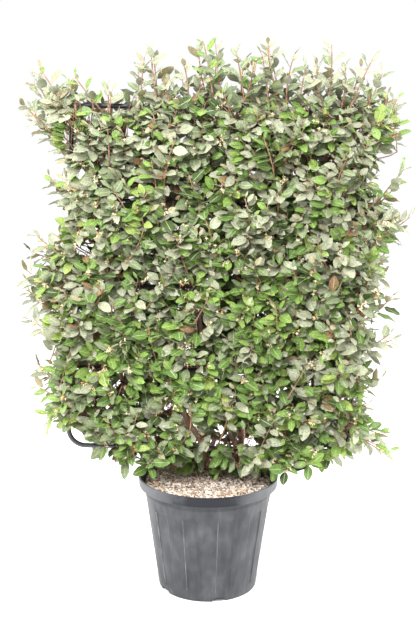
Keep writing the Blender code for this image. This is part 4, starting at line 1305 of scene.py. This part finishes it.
class Growth:
    """Collects every twig, leaf and flower of the plant."""

    CELL = 0.02

    def __init__(self, obstacles, views):
        self.obstacles = obstacles
        self.views = np.array(views)
        self.cells = {}
        self.leaves = {row: [] for row in range(len(ROW_NAMES))}
        self.inner = []
        self.twigs = {"outer": [], "inner": [], "tall": [], "runner": []}
        self.petioles = []
        self.flowers = []

    def cell(self, point):
        """The cell of a coarse grid that a point lies in."""
        return tuple(int(math.floor(c / self.CELL)) for c in point)

    def crowded(self, point, least):
        """Whether another leaf's middle is nearer than the least distance."""
        i, j, k = self.cell(point)
        around = product((i - 1, i, i + 1), (j - 1, j, j + 1), (k - 1, k, k + 1))
        return any((other - point).length < least
                   for cell in around for other in self.cells.get(cell, ()))

    def hides_stem(self, points):
        """Whether a leaf in front would hide a bare stretch of stem."""
        for point, least in zip(points, STEM_VIEW_ROOM):
            if point.y < 0.03:
                x, z = seen_at(point)
                if np.hypot(self.views[:, 0] - x, self.views[:, 1] - z).min() < least:
                    return True
        return False

    def allowed(self, points):
        """Whether a blade stays in the plant's reach, off the pot and out of the sky gaps."""
        for point in points:
            if abs(point.x) > PANEL_HALF_WIDTH + SPARE_WIDTH or point.z > PANEL_TOP + SPARE_TOP:
                return False
            if abs(point.y) > PANEL_HALF_DEPTH + SPARE_DEPTH:
                return False
            placed = PANEL @ point
            off_axis = math.hypot(placed.x, placed.y)
            if placed.z < SOIL_TOP + MIX_ROOM:
                return False
            within, beyond, above = RIM_ROOM
            if (RIM_RADIUS - within < off_axis < RIM_RADIUS + beyond
                    and placed.z < POT_HEIGHT + above):
                return False
        root, middle, end = points
        if in_gap(middle, 0.007) or in_gap(root) or in_gap(end, -0.002):
            return False
        if middle.y < 0.02 and (in_gap(middle, 0.012, BARE_PLACES) or in_gap(end, 0.004, BARE_PLACES)):
            return False
        return not self.hides_stem(points)


def bezier(start, bend, end, t):
    """A point of a line that is bent towards one place."""
    return start * (1.0 - t) ** 2 + bend * (2.0 * t * (1.0 - t)) + end * t * t


HABITS = {
    "outer": {"spacing": 1.0, "bare": 0.16, "size": 1.0, "ratio": 1.0, "rise": 0.15, "steps": 3},
    "inner": {"spacing": 1.2, "bare": 0.10, "size": 1.0, "ratio": 1.0, "rise": 0.30, "steps": 3},
    "tall": {"spacing": 1.40, "bare": 0.06, "size": 1.14, "ratio": 0.92, "rise": 0.18, "steps": 6},
    "runner": {"spacing": 1.25, "bare": 0.20, "size": 0.90, "ratio": 1.0, "rise": 0.40, "steps": 6},
    "side": {"spacing": 1.25, "bare": 0.12, "size": 1.12, "ratio": 0.82, "rise": 0.30, "steps": 5},
    "base": {"spacing": 1.0, "bare": 0.20, "size": 0.80, "ratio": 1.05, "rise": 0.10, "steps": 4},
}
TWIG_KINDS = {"side": "tall", "base": "outer"}
UP = Vector((0.0, 0.0, 1.0))


def grow_shoot(rng, growth, row, shoot):
    """Grows one shoot with leaves in a spiral along it; returns whether it got any."""
    base, tip, outward, kind = shoot.base, shoot.tip, shoot.outward, shoot.kind
    habit = HABITS[kind]
    length = (tip - base).length
    bend = base.lerp(tip, 0.5) + (outward * 0.08 - UP * 0.10) * length
    if kind in ("tall", "side", "runner"):
        sway = Vector((rng.uniform(-0.14, 0.14), rng.uniform(-0.03, 0.03), 0.0))
        bend = base.lerp(tip, 0.5) + sway * length
    steps = habit["steps"]
    path = [bezier(base, bend, tip, k / steps) for k in range(steps + 1)]
    if kind != "base" and growth.obstacles.room(path) < TWIG_CLEARANCE:
        return False
    if kind not in ("tall", "base") and (in_gap(tip) or in_gap(path[steps // 2])):
        return False
    height = min(max((tip.z - FOLIAGE_LOW) / FOLIAGE_SPAN, 0.0), 1.0)
    spray = spray_colour(rng, height, tip.x, kind)
    spacing = LEAF_SPACING * habit["spacing"]
    young_length = YOUNG_LENGTH_TALL if kind == "tall" else YOUNG_LENGTH
    phase = rng.uniform(0.0, math.tau)
    count = int((1.0 - habit["bare"]) * length / spacing) + 1
    grown = 0
    for k in range(count):
        share = 1.0 - k * spacing / length
        at = bezier(base, bend, tip, share)
        along = ((bend - base) * (1.0 - share) + (tip - bend) * share).normalized()
        young = max(0.0, 1.0 - k * spacing / young_length)
        size = LEAF_LENGTH * habit["size"] * (1.06 - 0.14 * height) * rng.uniform(0.74, 1.22)
        size *= 1.0 - 0.50 * young
        turn = phase + GOLDEN_ANGLE * k
        leaf = place_leaf(rng, growth, at, along, outward, size, young, turn, kind)
        if leaf is None:
            continue
        root, direction, normal, radial = leaf
        grown += 1
        ratio = LEAF_RATIO * habit["ratio"] * (0.88 + 0.16 * height)
        record = (
            tuple(root), tuple(direction), tuple(normal), size,
            ratio * rng.uniform(0.84, 1.14) * (1.0 - 0.28 * young), rng.uniform(0.08, 0.38),
            rng.uniform(0.02, 0.18), rng.uniform(0.015, 0.045), rng.uniform(0.0, 6.28),
            rng.uniform(-0.4, 0.4),
            LEAF_SLOTS.index(leaf_colour(rng, spray, k, height, kind)),
            LEAF_SLOTS.index("under_bronze" if rng.random() < 0.2 + 0.3 * young else "under_silver"))
        if kind == "inner":
            growth.inner.append(record)
        else:
            growth.leaves[row].append(record)
            growth.petioles.append((tuple(at), tuple(root)))
        blossom = 0.080 + 0.100 * (at.x < 0.02) + 0.060 * (height < 0.75)
        if kind in ("outer", "side") and 0 < k < 5 and rng.random() < blossom:
            growth.flowers.append((at + radial * 0.004, radial, outward))
    if grown:
        growth.twigs[TWIG_KINDS.get(kind, kind)].append(path)
    return grown > 0


def place_leaf(rng, growth, at, along, outward, size, young, turn, kind):
    """Finds a way for one leaf to stand: its root, direction, normal and side of the shoot."""
    rise = 0.30 + HABITS[kind]["rise"] + 0.9 * young
    side = along.orthogonal().normalized()
    across = along.cross(side)
    for attempt in range(LEAF_TRIES):
        angle = turn + TRY_TURN * attempt
        radial = side * math.cos(angle) + across * math.sin(angle)
        if kind != "tall" and radial.dot(outward) < -0.5 and attempt < LEAF_TRIES - 1:
            continue
        droop = rng.uniform(0.0, 0.50) * (1.0 - young) * (0.4 if kind == "tall" else 1.0)
        direction = radial + along * rise + outward * 0.25 - UP * droop
        direction.normalize()
        normal = outward * rng.uniform(0.4, 1.1) + UP * rng.uniform(0.30, 1.00)
        normal += Vector((rng.uniform(-0.5, 0.5), rng.uniform(-0.35, 0.35), rng.uniform(-0.3, 0.3)))
        if kind == "tall":
            normal = along * 0.5 - radial * 0.4 + Vector((0.0, 2.2 * outward.y, 0.3)) + normal * 0.5
        normal -= direction * normal.dot(direction)
        if normal.length < 0.15:
            continue
        normal.normalize()
        root = at + direction * PETIOLE
        middle = root + direction * (0.5 * size)
        end = root + direction * size
        if kind != "base" and not growth.allowed((root, middle, end)):
            continue
        if kind == "base" and (end.z < SOIL_TOP + 0.010 or growth.hides_stem((root, middle, end))):
            continue
        if growth.crowded(middle, LEAF_ROOM):
            continue
        wide = direction.cross(normal) * (0.5 * LEAF_RATIO * size)
        if growth.obstacles.room((middle, end, middle + wide, middle - wide)) < LEAF_CLEARANCE:
            continue
        growth.cells.setdefault(growth.cell(middle), []).append(middle)
        return root, direction, normal, radial
    return None


def grow_mass(rng, growth, column, row, low, high, limbs, wood_batch):
    """The wood and the shoots of one mass."""
    root = mass_root(column, row, low, limbs)
    wood = Wood(root)
    middle = Vector((0.5 * (low.x + high.x), -0.02, 0.5 * (low.z + min(high.z, 1.58))))
    wood.grow_to(rng, middle, 5)
    shoots = surface_shoots(rng, low, high) + edge_shoots(rng, column, low, high)
    shoots += listed_shoots(rng, low, high) + runner_shoots(rng, low, high)
    if row == len(ROW_NAMES) - 1:
        shoots += crest_shoots(rng, low, high)
    rng.shuffle(shoots)
    shoots.sort(key=lambda shoot: shoot.kind not in ("tall", "side", "runner"))
    shoots += inner_shoots(rng, low, high)
    grown = [shoot for shoot in shoots if grow_shoot(rng, growth, row, shoot)]
    grown.sort(key=lambda shoot: (shoot.base - root).length)
    for shoot in grown:
        wood.load(wood.grow_to(rng, shoot.base, 2 if shoot.kind == "inner" else 3))
    wood.tubes(wood_batch)


# Meshes of the leaves and flowers

BLADE_THICKNESS = 0.0008
BLADE_STATIONS = (0.07, 0.25, 0.48, 0.70, 0.90)
INNER_STATIONS = (0.15, 0.50, 0.84)
BLADE_COLUMNS = ((-1.0, 1), (-0.050, 0), (0.050, 0), (1.0, 1))
INNER_COLUMNS = ((-1.0, 1), (0.0, 0), (1.0, 1))


def blade_width(s):
    """Half width of a blade along its length, as a share of its greatest."""
    return math.sin(math.pi * s ** 0.88) ** 0.68


def blade_shape(root, direction, normal, numbers, stations, columns, thickness):
    """The points of every blade: both ends, then each station's upper columns and one below."""
    length, ratio, fold, droop, wave, phase, twist = numbers[:, :7].T
    side = np.cross(direction, normal)

    def place(s, across, rim, below):
        half = 0.5 * ratio * length * (blade_width(s) if 0.0 < s < 1.0 else 0.0)
        turn = twist * (s - 0.4)
        lift = fold * abs(across) * half * (1.0 - 0.25 * abs(across))
        lift = lift + wave * length * rim * np.sin(phase + (9.0 + across) * s * 2.0)
        lift = lift - droop * length * s * s - below
        x = across * half * np.cos(turn) - lift * np.sin(turn)
        y = across * half * np.sin(turn) + lift * np.cos(turn)
        return root + direction * (s * length)[:, None] + side * x[:, None] + normal * y[:, None]

    points = [place(0.0, 0.0, 0, 0.0), place(1.0, 0.0, 0, 0.0)]
    for s in stations:
        points += [place(s, across, rim, 0.0) for across, rim in columns]
        points.append(place(s, 0.0, 0, thickness))
    return np.stack(points, 1)


def leaf_blades(batch, records, stations, columns, rib_column=None):
    """Blades with a folded upper side of several columns and an under side of two.

    Both sides are split along the same diagonals, from the rim to the middle, so neither pokes through.
    """
    root, direction, normal = (np.array([r[i] for r in records]) for i in range(3))
    numbers = np.array([r[3:] for r in records])
    upper = numbers[:, 7].astype(int)
    under = numbers[:, 8].astype(int)
    points = blade_shape(root, direction, normal, numbers, stations, columns, BLADE_THICKNESS)
    width = len(columns) + 1
    below = len(columns)
    strips = [(k, k + 1, "rib" if k == rib_column else "upper") for k in range(len(columns) - 1)]
    strips += [(len(columns) - 1, below, "under"), (below, 0, "under")]
    rib = np.full(len(records), LEAF_SLOTS.index("rib"))
    slot_of = {"upper": upper, "rib": rib, "under": under}
    offsets = (points.shape[1] * np.arange(len(records)))[:, None, None]
    start = batch.add_points(points)
    last = 2 + (len(stations) - 1) * width
    for a_end, b_end, part in strips:
        tris = [(0, 2 + b_end, 2 + a_end), (1, last + a_end, last + b_end)]
        for row in range(len(stations) - 1):
            a = 2 + row * width + a_end
            b = 2 + row * width + b_end
            if a_end in (0, len(columns) - 1):
                tris += [(a, b, b + width), (a, b + width, a + width)]
            else:
                tris += [(a, b, a + width), (b, b + width, a + width)]
        shapes = (np.array(tris)[None] + offsets).reshape(-1, 3)
        batch.add_faces(shapes, start, np.repeat(slot_of[part], len(tris)))


def flower_heads(rng, flowers):
    """Single flowers of every cluster: place, hanging direction, length and slot."""
    heads = []
    for place, radial, outward in flowers:
        for _ in range(rng.choice((3, 4, 5, 6))):
            hang = Vector((rng.uniform(-0.9, 0.9), rng.uniform(-0.6, 0.6), rng.uniform(-0.9, 0.3)))
            hang += radial * 0.5 + outward * 0.8
            shift = Vector([rng.uniform(-1, 1) for _ in range(3)]) * 0.009
            heads.append((place + shift, hang.normalized(), rng.uniform(0.0105, 0.0155),
                          0 if rng.random() < 0.75 else 1))
    return heads


def flower_blooms(batch, heads):
    """Small tubular flowers, each with four pointed lobes round its mouth."""
    lobes = 4
    profile = ((0.0, 0.05), (0.22, 0.15), (0.74, 0.15))
    quads = ring_quads(len(profile), lobes)
    mouth = (len(profile) - 1) * lobes
    tips = mouth + lobes
    middle = tips + lobes
    tris = [(0, 2, 1), (0, 3, 2)]
    for k in range(lobes):
        here = mouth + k
        following = mouth + (k + 1) % lobes
        tris += [(here, following, tips + k), (tips + k, following, middle), (here, tips + k, middle)]
    for place, hang, length, slot in heads:
        side = hang.orthogonal().normalized()
        across = hang.cross(side)
        rings = [(along, wide, 0.0) for along, wide in profile] + [(0.92, 0.48, 0.5)]
        points = []
        for along, wide, shift in rings:
            for k in range(lobes):
                turn = math.tau * (k + shift) / lobes
                out = side * math.cos(turn) + across * math.sin(turn)
                points.append(place + (hang * along + out * wide) * length)
        points.append(place + hang * (0.80 * length))
        batch.add_faces(tris, batch.add([tuple(p) for p in points], quads, slot), slot)


# The heights between which each limb is bare
BARE_FEET = (("left", 0.385, 0.535), ("right", 0.395, 0.500), ("stub", 0.430, 0.485),
             ("middle", 0.440, 0.500))


def bare_views(limbs):
    """Where the bare feet of the stems show on the middle plane, but for the frame's low bar."""
    views = []
    for name, low, high in BARE_FEET:
        path, _ = limbs[name].smooth_path()
        views += [seen_at(point) for point in path if low < point.z < high]
    return [(x, z) for x, z in views if abs(z - FRAME_LOW) > BAR_VIEW_ROOM]


# Radius at the foot and the tip of each kind of twig, and its sides
TWIG_SIZES = {"outer": (0.0019, 0.0009, 4), "inner": (0.0021, 0.0012, 3), "tall": (0.0033, 0.0015, 5),
              "runner": (0.0028, 0.0014, 6)}
STALK_RADII = (0.0007, 0.0009)


def twig_tubes(batch, paths, base, tip, sides):
    """Meshes twigs of one kind, in groups with as many points each."""
    for steps in sorted({len(path) for path in paths}):
        chosen = [[tuple(p) for p in path] for path in paths if len(path) == steps]
        tubes(batch, chosen, np.tile(np.linspace(base, tip, steps), (len(chosen), 1)), sides)


def grow_plant(limbs, wood):
    """Grows every mass and the low shoots, and adds their branches to the wood."""
    lines = frame_lines()
    for limb in limbs.values():
        lines += zip(limb.points, limb.points[1:], limb.radii)
    growth = Growth(Obstacles(lines), bare_views(limbs))
    for (column, row), (low, high) in mass_spaces().items():
        rng = random.Random(MASS_SEED + 100 * row + column)
        grow_mass(rng, growth, column, row, low, high, limbs, wood)
    rng = random.Random(BASE_SEED)
    for shoot in base_shoots():
        grow_shoot(rng, growth, 0, shoot)
    return growth


def make_wood(growth, wood):
    """Branches, twigs and leaf stalks."""
    twigs = Batch()
    for kind, (base, tip, sides) in TWIG_SIZES.items():
        twig_tubes(twigs, growth.twigs[kind], base, tip, sides)
    stalks = Batch()
    tubes(stalks, growth.petioles, np.tile(STALK_RADII, (len(growth.petioles), 1)), 3)
    young = surface("young_bark", (0.19, 0.092, 0.050), (0.37, 0.215, 0.130), 120.0, 0.7, bump=0.4,
                    bump_scale=800.0)
    old = surface("branch_bark", (0.150, 0.070, 0.042), (0.330, 0.180, 0.110), 120.0, 0.8, bump=0.5,
                  bump_scale=600.0)
    stalk = surface("leaf_stalk", (0.30, 0.22, 0.12), (0.45, 0.36, 0.22), 200.0, 0.6)
    return [wood.build("branches", [old]), twigs.build("twigs", [young]),
            stalks.build("leaf_stalks", [stalk])]


def make_leaves(growth):
    """The leaves of each row, the shaded leaves inside, and the flowers."""
    pieces = []
    materials = leaf_materials()
    for row, records in growth.leaves.items():
        batch = Batch()
        leaf_blades(batch, records, BLADE_STATIONS, BLADE_COLUMNS, 1)
        piece = batch.build("leaves_" + ROW_NAMES[row], materials, sharp=BLADE_SHARP)
        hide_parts(*[f"foliage_{ROW_NAMES[row]}_{name}" for name in COLUMN_NAMES])
        pieces.append(piece)
    shade = Batch()
    leaf_blades(shade, growth.inner, INNER_STATIONS, INNER_COLUMNS)
    pieces.append(shade.build("leaves_inner", materials, sharp=BLADE_SHARP))
    blooms = Batch()
    flower_blooms(blooms, flower_heads(random.Random(BLOSSOM_SEED), growth.flowers))
    cream = surface("petal_cream", (0.66, 0.56, 0.33), (0.82, 0.74, 0.50), 300.0, 0.6)
    tan = surface("petal_tan", (0.46, 0.28, 0.09), (0.62, 0.42, 0.18), 300.0, 0.65)
    pieces.append(blooms.build("blossom", [cream, tan], sharp=PIECE_SHARP))
    return pieces


def make_foliage(limbs):
    """Branches, twigs, leaves and flowers of every mass, joined by kind and by row."""
    wood = Batch()
    growth = grow_plant(limbs, wood)
    slots = {"bark": make_wood(growth, wood), "leaves": make_leaves(growth)}
    for slot, members in slots.items():
        for piece in members:
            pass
    return slots["bark"] + slots["leaves"]


# Stage

def make_camera():
    """The camera, where the photograph was taken from."""
    forward = Vector((math.sin(CAMERA_YAW) * math.cos(CAMERA_PITCH),
                      math.cos(CAMERA_YAW) * math.cos(CAMERA_PITCH), -math.sin(CAMERA_PITCH)))
    right = Vector((math.cos(CAMERA_YAW), -math.sin(CAMERA_YAW), 0.0))
    up = right.cross(forward)
    rolled_right = right * math.cos(CAMERA_ROLL) + up * math.sin(CAMERA_ROLL)
    rolled_up = up * math.cos(CAMERA_ROLL) - right * math.sin(CAMERA_ROLL)
    camera = link_object("camera", bpy.data.cameras.new("camera"))
    turn = Matrix((rolled_right, rolled_up, -forward)).transposed()
    camera.matrix_world = Matrix.Translation(CAMERA_PLACE) @ turn.to_4x4()
    camera.data.sensor_fit = 'VERTICAL'
    camera.data.sensor_height = SENSOR
    camera.data.sensor_width = SENSOR
    camera.data.lens = FOCAL_PIXELS / IMAGE_HEIGHT * SENSOR
    bpy.context.scene.camera = camera


LIGHTS = (
    ("key", (-1.2, -2.4, 3.1), 1.9, 205.0), ("top", (0.6, -0.2, 3.9), 2.0, 85.0),
    ("left", (-2.6, 0.5, 1.5), 1.8, 62.0), ("right", (2.6, 0.3, 1.3), 1.8, 110.0))
LIGHT_AIM = Vector((0.0, 0.0, 0.9))
FLOOR_REACH = 14.0
FLOOR_GLOW = 0.12


def make_stage():
    """A pale floor, a white surround and wide soft lights."""
    mesh = bpy.data.meshes.new("floor")
    corners = [(x * FLOOR_REACH, y * FLOOR_REACH, 0) for x, y in ((-1, -1), (1, -1), (1, 1), (-1, 1))]
    mesh.from_pydata(corners, [], [(0, 1, 2, 3)])
    paper = surface("floor_paper", (0.90, 0.90, 0.90), (0.93, 0.93, 0.93), 4.0, 0.8, bump=0.0)
    shader = paper.node_tree.nodes["Principled BSDF"]
    shader.inputs["Emission Color"].default_value = (1.0, 1.0, 1.0, 1.0)
    shader.inputs["Emission Strength"].default_value = FLOOR_GLOW
    floor = make_piece("floor", mesh, [paper])
    world = bpy.data.worlds.new("white")
    world.use_nodes = True
    background = world.node_tree.nodes["Background"]
    background.inputs["Color"].default_value = (1.0, 1.0, 1.0, 1.0)
    background.inputs["Strength"].default_value = 1.0
    bpy.context.scene.world = world
    for name, place, size, power in LIGHTS:
        light = bpy.data.lights.new(name, 'AREA')
        light.shape = 'DISK'
        light.size = size
        light.energy = power
        obj = link_object(name, light)
        obj.location = place
        obj.rotation_euler = (LIGHT_AIM - Vector(place)).to_track_quat('-Z', 'Y').to_euler()
    bpy.context.scene.view_settings.view_transform = 'Standard'


def main():
    """Builds everything and attaches each piece to the root body."""
    make_camera()
    make_stage()
    limbs = make_limbs()
    slots = {"pot": [make_pot()], "soil": make_soil(), "frame": make_frame(), "bark": make_bark(limbs)}
    for slot, members in slots.items():
        for piece in members:
            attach(piece, "root")
    for piece in make_foliage(limbs):
        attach(piece, "root")


main()
